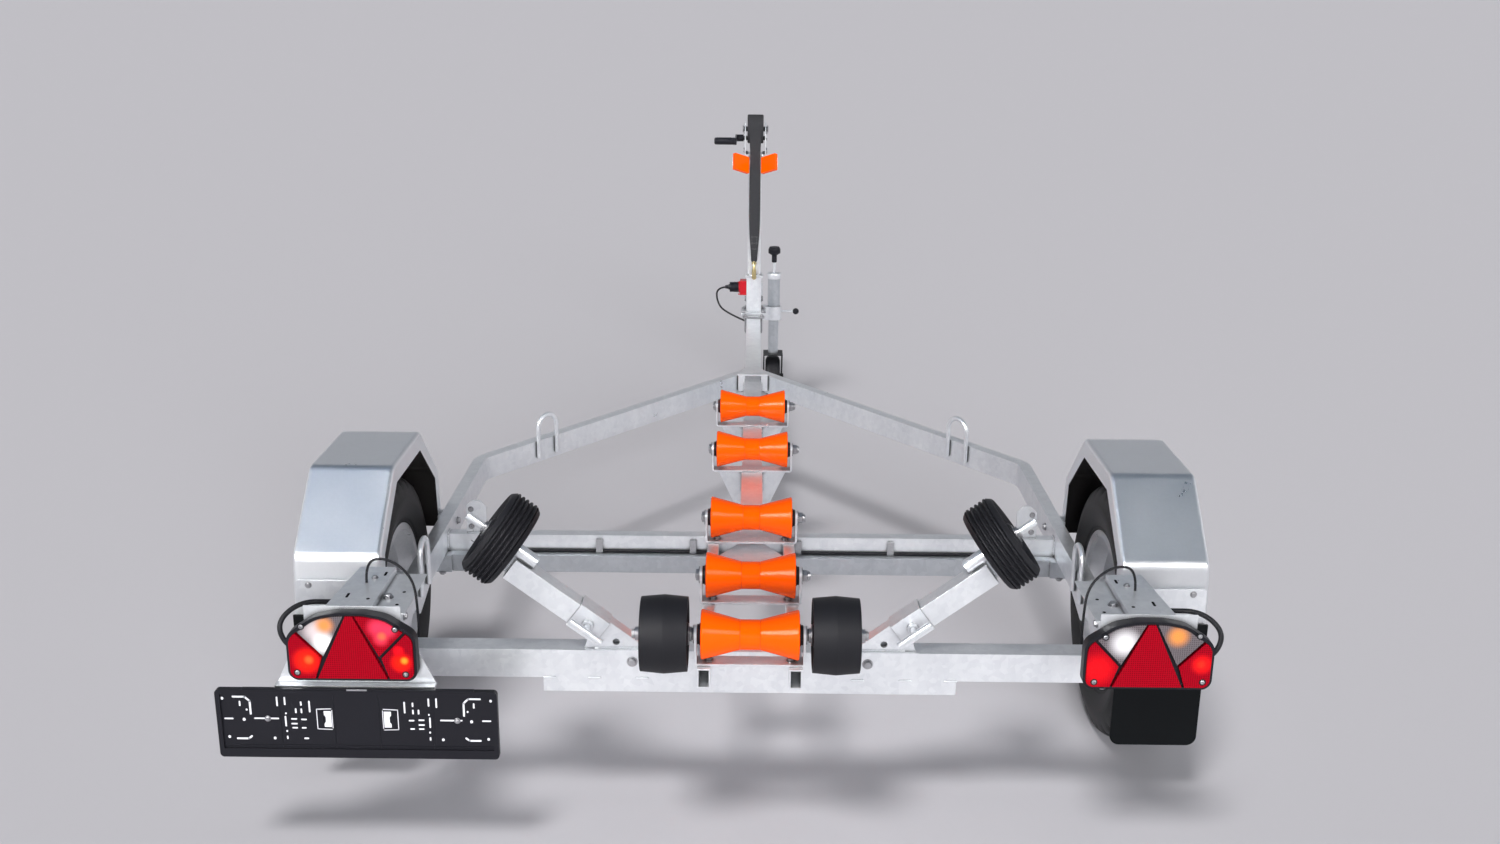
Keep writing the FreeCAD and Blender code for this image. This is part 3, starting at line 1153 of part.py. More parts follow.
def make_jack():
    """Jockey wheel: outer tube in its clamp, sliding leg, swivel fork and wheel."""
    x, y = cell.jack_x, cell.drawbar_ahead - cell.jack_behind
    outer, leg = cell.jack_tube_radius, cell.jack_leg_radius
    low, top = cell.jack_tube_low, cell.jack_tube_top
    bore = leg + cell.run_gap
    tube = turned("jack_tube", [(0, bore), (top - low, bore), (top - low, outer), (0, outer)],
                  at=(x, y, low), **ALONG_Z)
    node("jack_tube", tube)

    clamp_low, tall, wall = cell.jack_clamp_low, cell.jack_clamp_tall, cell.jack_clamp_wall
    ring = rod("clamp_ring", outer + wall, tall, (x, y, clamp_low))
    side = cell.drawbar_wide / 2
    tongue = block("clamp_tongue", (x - side, 2 * outer, tall), (side, y - outer, clamp_low))
    hole = rod("clamp_hole", outer + cell.run_gap, tall + 2 * cell.overrun,
               (x, y, clamp_low - cell.overrun))
    lever_z = clamp_low + tall * 0.6
    lever = rod("clamp_lever", cell.jack_spindle_radius, cell.jack_lever_long,
                (x + outer + wall - cell.overrun * 0.8, y, lever_z), **TURN_X)
    ball = doc.addObject("Part::Sphere", "clamp_ball")
    bind(ball, "Radius", cell.jack_ball_radius)
    place(ball, (x + outer + wall + cell.jack_lever_long, y, lever_z))
    node("jack_clamp", fuse("jack_clamp", cut("clamp_body", fuse("clamp_solid", ring, tongue), hole),
                            lever, ball))

    spindle = rod("jack_spindle", cell.jack_spindle_radius, cell.knob_low - top,
                  (x, y, top))
    lid = rod("jack_lid", outer, cell.overrun, (x, y, top))
    knob_low, knob_top = cell.knob_low, cell.knob_top
    stem, cap = cell.knob_stem_radius, cell.knob_radius
    waist = knob_low + (knob_top - knob_low) * 0.45
    knob = turned("jack_knob_turned", [
        (0, 0), (knob_top - knob_low, 0), (knob_top - knob_low, cap * 0.8),
        ((knob_top - knob_low) * 0.85, cap), ((knob_top - knob_low) * 0.6, cap),
        (waist - knob_low, stem), (0, stem)], at=(x, y, knob_low), **ALONG_Z)
    node("jack_knob", fuse("jack_knob", spindle, lid, knob))

    fork_top = cell.jack_fork_top
    node("jack_leg", rod("jack_leg", leg, cell.jack_leg_top - fork_top - cell.run_gap,
                         (x, y, fork_top + cell.run_gap)))

    radius, half = cell.jack_wheel_radius, cell.jack_wheel_half
    gauge = cell.jack_fork_plate
    wheel_y = y + cell.jack_trail
    inside = half + cell.overrun
    ear = cell.jack_hub_radius
    crown = block("fork_crown", (2 * (inside + gauge), cell.jack_fork_long, gauge),
                  (x - inside - gauge, y - cell.jack_fork_long / 2, fork_top - gauge))
    back, front = -cell.jack_fork_long / 2, cell.jack_fork_long / 2
    cheek_outline = [(cell.jack_trail - ear, radius), (cell.jack_trail - ear / 2, radius - ear),
                     (cell.jack_trail + ear / 2, radius - ear), (cell.jack_trail + ear, radius),
                     (front, fork_top), (back, fork_top)]
    cheek = plate("fork_cheek", "YZ", [cheek_outline], gauge, at=(x + inside + gauge / 2, y, 0))
    other = plate("fork_cheek_left", "YZ", [cheek_outline], gauge,
                  at=(x - inside - gauge / 2, y, 0))
    reach = inside + gauge + cell.overrun
    axle = rod("fork_axle", cell.jack_axle_radius, 2 * reach, (x - reach, wheel_y, radius), **TURN_X)
    node("jack_fork", fuse("jack_fork", crown, cheek, other, axle))

    bore = cell.jack_axle_radius + cell.run_gap
    rim, hub = cell.jack_tyre_inner, cell.jack_hub_radius
    web = half * 0.3
    wheel = turned("jack_wheel", [
        (-half, bore), (half, bore), (half, hub), (web, hub), (web, rim), (half * 0.8, rim),
        (half, radius * 0.82), (half * 0.8, radius * 0.96), (half * 0.5, radius),
        (-half * 0.5, radius), (-half * 0.8, radius * 0.96), (-half, radius * 0.82),
        (-half * 0.8, rim), (-web, rim), (-web, hub), (-half, hub)], at=(x, wheel_y, radius))
    node("jack_wheel", wheel)


def make_coupling():
    """Ball coupling: pressed neck over the drawbar, round head with its socket, lever."""
    y, z, ball = cell.drawbar_ahead + cell.ball_ahead, cell.ball_z, cell.ball_radius
    outer = ball + cell.head_wall
    low = z - ball + cell.overrun
    head = rod("coupling_head_drum", outer, cell.head_top - low, (0, y, low))
    side = cell.drawbar_wide / 2
    wall, back = cell.neck_wall, cell.drawbar_ahead - cell.neck_cover
    under = cell.deck_z - cell.drawbar_tall
    neck = plate("coupling_neck", "XY", [[(-side - wall, back), (side + wall, back),
                                          (side + wall, cell.drawbar_ahead), (outer * 0.8, y),
                                          (-outer * 0.8, y), (-side - wall, cell.drawbar_ahead)]],
                 cell.head_top - low, at=(0, 0, (cell.head_top + low) / 2))
    sleeve = block("coupling_sleeve_hollow",
                   (2 * side, cell.drawbar_ahead - back + 2 * cell.overrun, cell.drawbar_tall),
                   (-side, back - 2 * cell.overrun, under))
    belly = block("coupling_belly", (2 * side - 2 * wall, y - cell.drawbar_ahead - outer,
                                     cell.deck_z - under),
                  (wall - side, cell.drawbar_ahead + cell.overrun, under - wall))
    socket = doc.addObject("Part::Sphere", "coupling_socket")
    bind(socket, "Radius", ball)
    place(socket, (0, y, z))
    mouth = rod("coupling_mouth", ball, z - low + cell.overrun, (0, y, low - cell.overrun))
    hollow_neck = cut("coupling_neck_hollow", neck, sleeve, belly)
    solid = fuse("coupling_solid", head, hollow_neck)
    node("coupling_head", cut("coupling_head", cut("coupling_entry", solid, mouth), socket))
    thick, rise, wide = cell.lever_thick, cell.lever_rise, cell.lever_wide / 2
    top = cell.head_top
    lever = plate("coupling_lever", "YZ", [[
        (y - outer, top), (y + wide, top), (y + wide, top + thick), (y - outer + rise, top + thick),
        (y - outer - rise, top + thick + rise), (back, top + thick + rise), (back, top + rise),
        (y - outer - rise, top + rise)]], cell.lever_wide)
    node("coupling_lever", lever)


CLIP_SHARES = (-0.55, -0.21, 0.17, 0.505)


def make_electrics():
    """Plug in its holder on the post and the cables along the frame."""
    y = post_line()
    wide, low, tall, deep = (cell.holder_wide, cell.holder_low, cell.holder_tall, cell.holder_deep)
    face = cell.socket_side / 2
    node("plug_holder", block("plug_holder", (wide, deep, tall), (-face - wide, y - deep / 2, low)))
    radius, cable = cell.plug_radius, cell.cable_radius
    x = -face - wide
    node("plug", rod("plug", radius, cell.plug_long, (x, y, low + tall / 2), **TURN_BACK_X))
    reach = x - cell.plug_long
    middle = low + tall / 2
    loops = [bent_rod("plug_cable", cable, [
        (reach, y, middle), (reach - 50, y, middle), (reach - 50, y, middle - 58),
        (reach - 18, y - 30, middle - 94), (cell.cable_radius - 32.3, y - 60, middle - 122)])]
    rest = cell.deck_z - cell.cradle_tall + cable + cell.run_gap
    run_y = cell.cross_beam_ahead - cable - cell.run_gap
    start = cell.cradle_x + cell.cradle_wide / 2 + cell.run_gap
    beam_cable = rod("beam_cable", cable, cell.cable_end - start, (start, run_y, rest), **TURN_X)
    loops += [beam_cable, mirrored("beam_cable_left", beam_cable)]
    roof, leg = cell.console_top + cell.run_gap, cell.rail_face_x + cell.run_gap
    lead = bent_rod("lamp_lead", cell.lead_radius, [
        (leg + 3, -408, roof), (leg + 3, -408, 548),
        (688, -425, 560), (640, -445, 530), (629, -462, 476), (628, -470, 420)])
    hose = bent_rod("lamp_hose", cell.hose_radius, [
        (leg - cell.rail_wide + cell.sheet_thick, -446, 478), (790, -446, 478), (851, -472, 489),
        (889, -503, 455), (858, -510.7, 402), (812, -510.7, 402)])
    loops += [lead, hose, mirrored("lamp_lead_left", lead), mirrored("lamp_hose_left", hose)]
    node("cables", group("cables", *loops))

    clips = []
    gauge, wide = cell.clip_thick, cell.clip_wide
    for index, share in enumerate(CLIP_SHARES):
        clips.append(block("cable_clip_%d" % index, (wide, gauge, cell.clip_tall), (
            cell.cable_end * share - wide / 2, run_y - cable - cell.run_gap - gauge,
            cell.deck_z - cell.cradle_tall + cell.run_gap)))
        clips.append(block("cable_clip_hook_%d" % index, (
            wide, 2 * cable + 2 * cell.run_gap + gauge, gauge), (
            cell.cable_end * share - wide / 2, run_y - cable - cell.run_gap - gauge,
            cell.deck_z - cell.cradle_tall + cell.clip_tall)))
    ties = [fuse("cable_clip_bent_%d" % index, *clips[2 * index:2 * index + 2])
            for index in range(len(CLIP_SHARES))]
    node("cable_clips", group("cable_clips", *ties))


turn = make_rails_and_arms()
make_drawbar()
make_cross_beam()
make_rear_beam()
make_cradle()
make_axle()
make_road_wheel()
make_mudguards()
make_keel_rollers()
make_supports()
make_lashing_loops(turn)
make_lamps()
make_plate_holder()
make_winch_post()
make_winch()
make_bow_stop()
make_strap()
make_jack()
make_coupling()
make_electrics()

doc.recompute()
for thing in doc.Objects:
    if {"Invalid", "Error"} & set(thing.State):
        raise RuntimeError("%s failed: %s" % (thing.Label, thing.State))
os.makedirs("parts", exist_ok=True)
for piece in nodes:
    if piece.Shape.isNull() or not piece.Shape.isValid():
        raise RuntimeError("%s has a bad shape" % piece.Label)
    piece.Shape.exportStep("parts/%s.step" % piece.Label)
print("%d nodes" % len(nodes))
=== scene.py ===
import bmesh
import bpy
import math
from mathutils import Matrix, Vector


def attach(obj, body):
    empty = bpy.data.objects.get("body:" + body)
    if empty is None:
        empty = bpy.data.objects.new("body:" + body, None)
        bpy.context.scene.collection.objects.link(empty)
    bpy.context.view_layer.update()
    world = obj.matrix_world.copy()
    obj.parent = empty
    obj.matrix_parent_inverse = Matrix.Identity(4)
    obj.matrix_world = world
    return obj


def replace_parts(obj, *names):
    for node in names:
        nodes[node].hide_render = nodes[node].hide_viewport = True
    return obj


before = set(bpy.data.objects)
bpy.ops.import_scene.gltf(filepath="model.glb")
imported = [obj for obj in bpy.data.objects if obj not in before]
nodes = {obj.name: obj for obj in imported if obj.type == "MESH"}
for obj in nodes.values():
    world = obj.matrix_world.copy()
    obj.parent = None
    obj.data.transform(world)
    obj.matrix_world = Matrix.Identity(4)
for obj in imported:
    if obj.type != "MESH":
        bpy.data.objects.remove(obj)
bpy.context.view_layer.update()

# The studio: a camera on a stand behind the trailer, a pale seamless floor, a soft light
# high on the left, a weak one high on the right and a broad low fill from the camera's
# side. The zinc mirrors further soft lights that are painted on the backdrop.
CAMERA_AT = (0.0, -2.984, 1.61)
CAMERA_YAW, CAMERA_DOWN, CAMERA_ROLL = 0.1, 16.8, 0.58
scene = bpy.context.scene
camera_data = bpy.data.cameras.new("studio_camera")
camera_data.sensor_width = 36.0
camera_data.lens = 34.8
camera_data.clip_end = 400.0
camera = bpy.data.objects.new("studio_camera", camera_data)
scene.collection.objects.link(camera)
look = Matrix.Rotation(math.radians(CAMERA_YAW), 4, "Z") @ Matrix.Rotation(math.radians(90 - CAMERA_DOWN), 4, "X")
camera.matrix_world = Matrix.Translation(CAMERA_AT) @ look @ Matrix.Rotation(math.radians(CAMERA_ROLL), 4, "Z")
scene.camera = camera
scene.view_settings.view_transform = "Standard"


def wire(tree, kind, inputs=None, **values):
    """A new node with its properties and the values of its inputs set."""
    made = tree.nodes.new(kind)
    for key, value in values.items():
        setattr(made, key, value)
    for key, value in (inputs or {}).items():
        made.inputs[key].default_value = value
    return made


def join(tree, *pairs):
    """Link each output to the input that is written after it."""
    for source, target in pairs:
        tree.links.new(source, target)


def lobe(tree, direction, toward, near, far):
    """How much a direction faces a soft light, from none at far to full at near."""
    aim = wire(tree, "ShaderNodeVectorMath", {1: Vector(toward).normalized()}, operation="DOT_PRODUCT")
    spread = wire(tree, "ShaderNodeMapRange", {"From Min": far, "From Max": near}, interpolation_type="SMOOTHSTEP")
    join(tree, (direction, aim.inputs[0]), (aim.outputs["Value"], spread.inputs["Value"]))
    return spread.outputs["Result"]


# Direction, cosine where the light is full, cosine where it begins, and colour.
MIRRORED_LIGHTS = (((-0.45, -0.2, 0.9), 0.98, 0.86, (0.16, 0.20, 0.30, 1.0)),
                   ((-0.42, -0.85, 0.28), 0.99, 0.93, (1.9, 1.9, 1.9, 1.0)),
                   ((-1.0, 0.15, 0.1), 0.98, 0.75, (0.3, 0.3, 0.3, 1.0)),
                   ((1.0, 0.1, 0.1), 0.98, 0.75, (0.3, 0.3, 0.32, 1.0)),
                   ((-0.49, -0.68, 0.54), 0.995, 0.98, (46.0, 45.0, 44.0, 1.0)),
                   ((0.49, -0.68, 0.54), 0.995, 0.98, (16.0, 15.6, 15.2, 1.0)))
studio = bpy.data.worlds.new("studio")
scene.world = studio
studio.use_nodes = True
sky = studio.node_tree
sky.nodes.clear()
out = wire(sky, "ShaderNodeOutputWorld")
choose = wire(sky, "ShaderNodeMixShader")
lit = wire(sky, "ShaderNodeBackground", {"Color": (0.085, 0.088, 0.095, 1.0)})
seen = wire(sky, "ShaderNodeBackground")
path = wire(sky, "ShaderNodeLightPath")
mirrored = wire(sky, "ShaderNodeMath", operation="ADD")
through = wire(sky, "ShaderNodeMath", operation="ADD", use_clamp=True)
where = wire(sky, "ShaderNodeTexCoord")
parts = wire(sky, "ShaderNodeSeparateXYZ")
height = wire(sky, "ShaderNodeValToRGB")
steps = height.color_ramp.elements
steps[0].position, steps[0].color = 0.0, (0.52, 0.52, 0.55, 1.0)
steps[1].position, steps[1].color = 0.75, (0.06, 0.09, 0.13, 1.0)
for position, colour in ((0.13, (0.50, 0.50, 0.53, 1.0)), (0.24, (0.36, 0.37, 0.39, 1.0)),
                         (0.45, (0.28, 0.29, 0.32, 1.0))):
    steps.new(position).color = colour
join(sky, (where.outputs["Generated"], parts.inputs[0]), (parts.outputs["Z"], height.inputs["Fac"]))
glow = height.outputs["Color"]
for toward, near, far, colour in MIRRORED_LIGHTS:
    added = wire(sky, "ShaderNodeMix", data_type="RGBA", blend_type="ADD")
    added.inputs["B"].default_value = colour
    join(sky, (glow, added.inputs["A"]),
         (lobe(sky, where.outputs["Generated"], toward, near, far), added.inputs["Factor"]))
    glow = added.outputs["Result"]
join(sky, (glow, seen.inputs["Color"]),
     (path.outputs["Is Camera Ray"], mirrored.inputs[0]), (path.outputs["Is Glossy Ray"], mirrored.inputs[1]),
     (mirrored.outputs[0], through.inputs[0]), (path.outputs["Is Transmission Ray"], through.inputs[1]),
     (through.outputs[0], choose.inputs[0]), (lit.outputs[0], choose.inputs[1]),
     (seen.outputs[0], choose.inputs[2]), (choose.outputs[0], out.inputs["Surface"]))


def sun(name, toward, strength, angle, tint):
    """A distant soft light that no surface mirrors."""
    lamp = bpy.data.lights.new(name, "SUN")
    lamp.energy, lamp.angle, lamp.color = strength, math.radians(angle), tint
    holder = bpy.data.objects.new(name, lamp)
    scene.collection.objects.link(holder)
    holder.rotation_euler = Vector(toward).to_track_quat("-Z", "Y").to_euler()
    holder.visible_glossy = False


sun("left_softbox", (0.24, 0.45, -1.0), 1.55, 16, (1.0, 0.985, 0.97))
sun("right_softbox", (-0.2, 0.1, -1.0), 0.1, 26, (1.0, 0.99, 0.98))
sun("low_fill", (-0.14, 1.0, -0.045), 7.4, 44, (0.98, 0.99, 1.0))


def new_paint(name):
    """A new material, its node tree and its Principled shader."""
    paint = bpy.data.materials.new(name)
    paint.use_nodes = True
    return paint, paint.node_tree, paint.node_tree.nodes["Principled BSDF"]


FLOOR_SIDE, FLOOR_NEAR, FLOOR_FAR = 150, -60, 300
floor_mesh = bpy.data.meshes.new("studio_floor")
floor_mesh.from_pydata([(-FLOOR_SIDE, FLOOR_NEAR, 0), (FLOOR_SIDE, FLOOR_NEAR, 0), (FLOOR_SIDE, FLOOR_FAR, 0),
                        (-FLOOR_SIDE, FLOOR_FAR, 0)], [], [(0, 1, 2, 3)])
floor = bpy.data.objects.new("studio_floor", floor_mesh)
scene.collection.objects.link(floor)
floor_paint, _, matte = new_paint("studio_floor_paint")
matte.inputs["Base Color"].default_value = (0.66, 0.65, 0.69, 1.0)
matte.inputs["Roughness"].default_value = 1.0
matte.inputs["Specular IOR Level"].default_value = 0.0
floor_mesh.materials.append(floor_paint)


# Hot-dip galvanised steel: rails, arms, beams, brackets and sheet. The zinc freezes in
# flat crystals of slightly different greys, with dull runs where it drained, and shade
# is painted into its corners and hollows, darker where parts meet.
def shader_group(name, *sockets):
    """A new shader node group with its sockets, and its two end nodes."""
    group = bpy.data.node_groups.new(name, "ShaderNodeTree")
    for title, way, kind, value in sockets:
        socket = group.interface.new_socket(title, in_out=way, socket_type="NodeSocket" + kind)
        if value is not None:
            socket.default_value = value
    return group, wire(group, "NodeGroupInput"), wire(group, "NodeGroupOutput")


spangle, given, result = shader_group(
    "zinc_spangle", ("Grain", "INPUT", "Float", 90.0), ("Light", "INPUT", "Color", (0.8, 0.8, 0.8, 1)),
    ("Dark", "INPUT", "Color", (0.5, 0.5, 0.5, 1)), ("Color", "OUTPUT", "Color", None),
    ("Roughness", "OUTPUT", "Float", None), ("Height", "OUTPUT", "Float", None))
spot = wire(spangle, "ShaderNodeTexCoord")
cells = wire(spangle, "ShaderNodeTexVoronoi", feature="F1")
stretch = wire(spangle, "ShaderNodeMapping", {"Scale": (1.0, 1.0, 0.35)})
runs = wire(spangle, "ShaderNodeTexNoise", {"Scale": 16.0, "Detail": 6.0, "Roughness": 0.6})
amount = wire(spangle, "ShaderNodeMath", {1: 0.3}, operation="MULTIPLY_ADD")
shade = wire(spangle, "ShaderNodeMath", {1: 1.1, 2: -0.15}, operation="MULTIPLY_ADD")
split = wire(spangle, "ShaderNodeSeparateColor")
tone = wire(spangle, "ShaderNodeMix", data_type="RGBA", clamp_factor=True)
gloss = wire(spangle, "ShaderNodeMapRange", {"To Min": 0.24, "To Max": 0.40})
join(spangle, (spot.outputs["Object"], cells.inputs["Vector"]), (given.outputs["Grain"], cells.inputs["Scale"]),
     (spot.outputs["Object"], stretch.inputs["Vector"]), (stretch.outputs["Vector"], runs.inputs["Vector"]),
     (cells.outputs["Color"], split.inputs[0]), (runs.outputs["Fac"], shade.inputs[0]),
     (split.outputs[0], amount.inputs[0]), (shade.outputs[0], amount.inputs[2]),
     (amount.outputs[0], tone.inputs["Factor"]), (given.outputs["Dark"], tone.inputs["A"]),
     (given.outputs["Light"], tone.inputs["B"]), (tone.outputs["Result"], result.inputs["Color"]),
     (amount.outputs[0], gloss.inputs["Value"]), (gloss.outputs["Result"], result.inputs["Roughness"]),
     (amount.outputs[0], result.inputs["Height"]))


def galvanised(name, light, dark, grain=90.0, metal=0.35, relief=0.08, edges_and_painted_shade=True):
    """Zinc between two greys; the last flag rounds its edges and paints shade into its hollows."""
    paint, t, skin = new_paint(name)
    zinc = wire(t, "ShaderNodeGroup", node_tree=spangle)
    zinc.inputs["Grain"].default_value = grain
    zinc.inputs["Light"].default_value = light + (1.0,)
    zinc.inputs["Dark"].default_value = dark + (1.0,)
    bump = wire(t, "ShaderNodeBump", {"Strength": relief, "Distance": 0.0005})
    skin.inputs["Metallic"].default_value = metal
    colour = zinc.outputs["Color"]
    if edges_and_painted_shade:
        corner = wire(t, "ShaderNodeBevel", {"Radius": 0.0014}, samples=4)
        # Painted shade: occlusion darkens the colour in hollows and joints, down to 0.3 of it.
        hollow = wire(t, "ShaderNodeAmbientOcclusion", {"Distance": 0.014}, samples=12)
        painted_shade_level = wire(t, "ShaderNodeMapRange", {"From Min": 0.35, "From Max": 0.85, "To Min": 0.30},
                    interpolation_type="SMOOTHSTEP")
        painted_shade_mix = wire(t, "ShaderNodeMix", data_type="RGBA", blend_type="MULTIPLY")
        painted_shade_mix.inputs["Factor"].default_value = 1.0
        join(t, (corner.outputs["Normal"], bump.inputs["Normal"]), (hollow.outputs["AO"], painted_shade_level.inputs["Value"]),
             (colour, painted_shade_mix.inputs["A"]), (painted_shade_level.outputs["Result"], painted_shade_mix.inputs["B"]))
        colour = painted_shade_mix.outputs["Result"]
    join(t, (colour, skin.inputs["Base Color"]), (zinc.outputs["Roughness"], skin.inputs["Roughness"]),
         (zinc.outputs["Height"], bump.inputs["Height"]), (bump.outputs["Normal"], skin.inputs["Normal"]))
    return paint


def dress(paint, *names):
    """Give the frame's own nodes one paint."""
    for name in names:
        mesh = nodes[name].data
        mesh.materials.clear()
        mesh.materials.append(paint)


steel = galvanised("galvanised_steel", (0.95, 0.97, 0.99), (0.72, 0.74, 0.78), metal=0.72)
bolts = galvanised("bolt_zinc", (0.62, 0.62, 0.64), (0.36, 0.36, 0.38), grain=500.0, metal=0.9)
dress(steel, "side_rails", "drawbar", "apex_plate", "cross_beam", "rear_beam", "keel_cradle", "swing_arms",
      "cradle_brackets", "drawbar_brackets", "support_sleeves", "support_arms", "lashing_loops", "lamp_brackets",
      "plate_carrier", "winch_post", "winch_frame", "bow_stop_bracket", "jack_clamp", "coupling_head",
      "coupling_lever", "mudguard_spacers", "hub_right", "hub_left")
dress(galvanised("rim_zinc", (0.80, 0.81, 0.83), (0.66, 0.67, 0.69), grain=160.0), "rim_right", "rim_left")
# A darker zinc for the axle, the jack tube and the jack leg; on the axle it is painted shade, for the shade under
# the cross beam.
dress(galvanised("dull_and_shaded_tube_zinc", (0.66, 0.69, 0.72), (0.46, 0.49, 0.52), metal=0.85),
      "torsion_axle", "jack_tube", "jack_leg")
dress(bolts, "roller_pins", "cable_clips")
dress(galvanised("yellow_zinc", (0.75, 0.62, 0.3), (0.6, 0.5, 0.28), grain=400.0, metal=0.95), "snap_hook")


# Mudguards: smoother rolled sheet, with painted shade underneath, near-black and not metallic
# inside the arch. The mask tells a face that looks at the wheel's centre from one that looks away.
WHEEL_MIDDLE, SHEET_METAL = (0.834, 0.0, 0.281), 0.94


def inner_mask(tree, centre):
    """One on the faces that look at the centre, none on the others."""
    there = wire(tree, "ShaderNodeTexCoord")
    offset = wire(tree, "ShaderNodeVectorMath", {1: centre}, operation="SUBTRACT")
    aim = wire(tree, "ShaderNodeVectorMath", operation="DOT_PRODUCT")
    inside = wire(tree, "ShaderNodeMath", {1: 0.0}, operation="LESS_THAN")
    join(tree, (there.outputs["Object"], offset.inputs[0]), (offset.outputs[0], aim.inputs[0]),
         (there.outputs["Normal"], aim.inputs[1]), (aim.outputs["Value"], inside.inputs[0]))
    return inside.outputs[0]


for side, sign in (("right", 1.0), ("left", -1.0)):
    guard = galvanised("mudguard_zinc_" + side, (0.93, 0.95, 0.97), (0.87, 0.89, 0.91), grain=260.0,
                       metal=SHEET_METAL, relief=0.02, edges_and_painted_shade=False)
    t = guard.node_tree
    skin = t.nodes["Principled BSDF"]
    zinc = next(n for n in t.nodes if n.type == "GROUP")
    mask = inner_mask(t, (WHEEL_MIDDLE[0] * sign, *WHEEL_MIDDLE[1:]))
    # Painted shade: the faces that look at the wheel turn near-black and lose their metal.
    painted_arch_shade = wire(t, "ShaderNodeMix", data_type="RGBA")
    painted_arch_shade.inputs["B"].default_value = (0.012, 0.011, 0.011, 1.0)
    painted_shade_metallic = wire(t, "ShaderNodeMapRange", {"To Min": SHEET_METAL, "To Max": 0.0})
    join(t, (mask, painted_arch_shade.inputs["Factor"]), (zinc.outputs["Color"], painted_arch_shade.inputs["A"]),
         (painted_arch_shade.outputs["Result"], skin.inputs["Base Color"]), (mask, painted_shade_metallic.inputs["Value"]),
         (painted_shade_metallic.outputs["Result"], skin.inputs["Metallic"]))
    dress(guard, "mudguard_" + side)


# Moulded plastics and rubbers: keel rollers, wheels, flaps, lamp housings and the plug.
# A fine noise breaks up the gloss and gives the skin its grain.
def moulded(name, colour, rough, grain=900.0, relief=0.1, shine=0.35):
    """A plain coloured skin whose roughness varies a little about one value."""
    paint, t, skin = new_paint(name)
    skin.inputs["Base Color"].default_value = colour + (1.0,)
    skin.inputs["Specular IOR Level"].default_value = shine
    noise = wire(t, "ShaderNodeTexNoise", {"Scale": grain})
    spread = wire(t, "ShaderNodeMapRange", {"To Min": rough - 0.08, "To Max": rough + 0.08})
    bump = wire(t, "ShaderNodeBump", {"Strength": relief, "Distance": 0.0004})
    place = wire(t, "ShaderNodeTexCoord")
    join(t, (place.outputs["Object"], noise.inputs["Vector"]), (noise.outputs["Fac"], spread.inputs["Value"]),
         (spread.outputs["Result"], skin.inputs["Roughness"]), (noise.outputs["Fac"], bump.inputs["Height"]),
         (bump.outputs["Normal"], skin.inputs["Normal"]))
    return paint


orange = moulded("orange_polyurethane", (0.97, 0.092, 0.0), 0.24, grain=300.0, relief=0.03, shine=0.17)
dress(orange, "keel_roller_1", "keel_roller_2", "keel_roller_3", "keel_roller_4", "keel_roller_5", "bow_pads")
rubber = moulded("black_rubber", (0.010, 0.010, 0.012), 0.55, relief=0.15, shine=0.25)
dress(rubber, "side_roller_right", "side_roller_left", "jack_wheel")
tyre_rubber = moulded("tyre_rubber", (0.017, 0.017, 0.018), 0.62, grain=500.0, relief=0.3)
dress(moulded("flap_rubber", (0.003, 0.0035, 0.004), 0.6, grain=250.0, relief=0.1, shine=0.12), "mudflaps")
plastic = moulded("black_plastic", (0.009, 0.009, 0.012), 0.4, grain=1200.0, shine=0.25)
dress(plastic, "lamp_housings", "plate_holder", "jack_knob", "plug", "winch_crank")
socket_red = moulded("red_plastic", (0.36, 0.008, 0.014), 0.3)
dress(socket_red, "plug_holder")
dress(moulded("fork_black", (0.012, 0.012, 0.013), 0.45), "jack_fork")


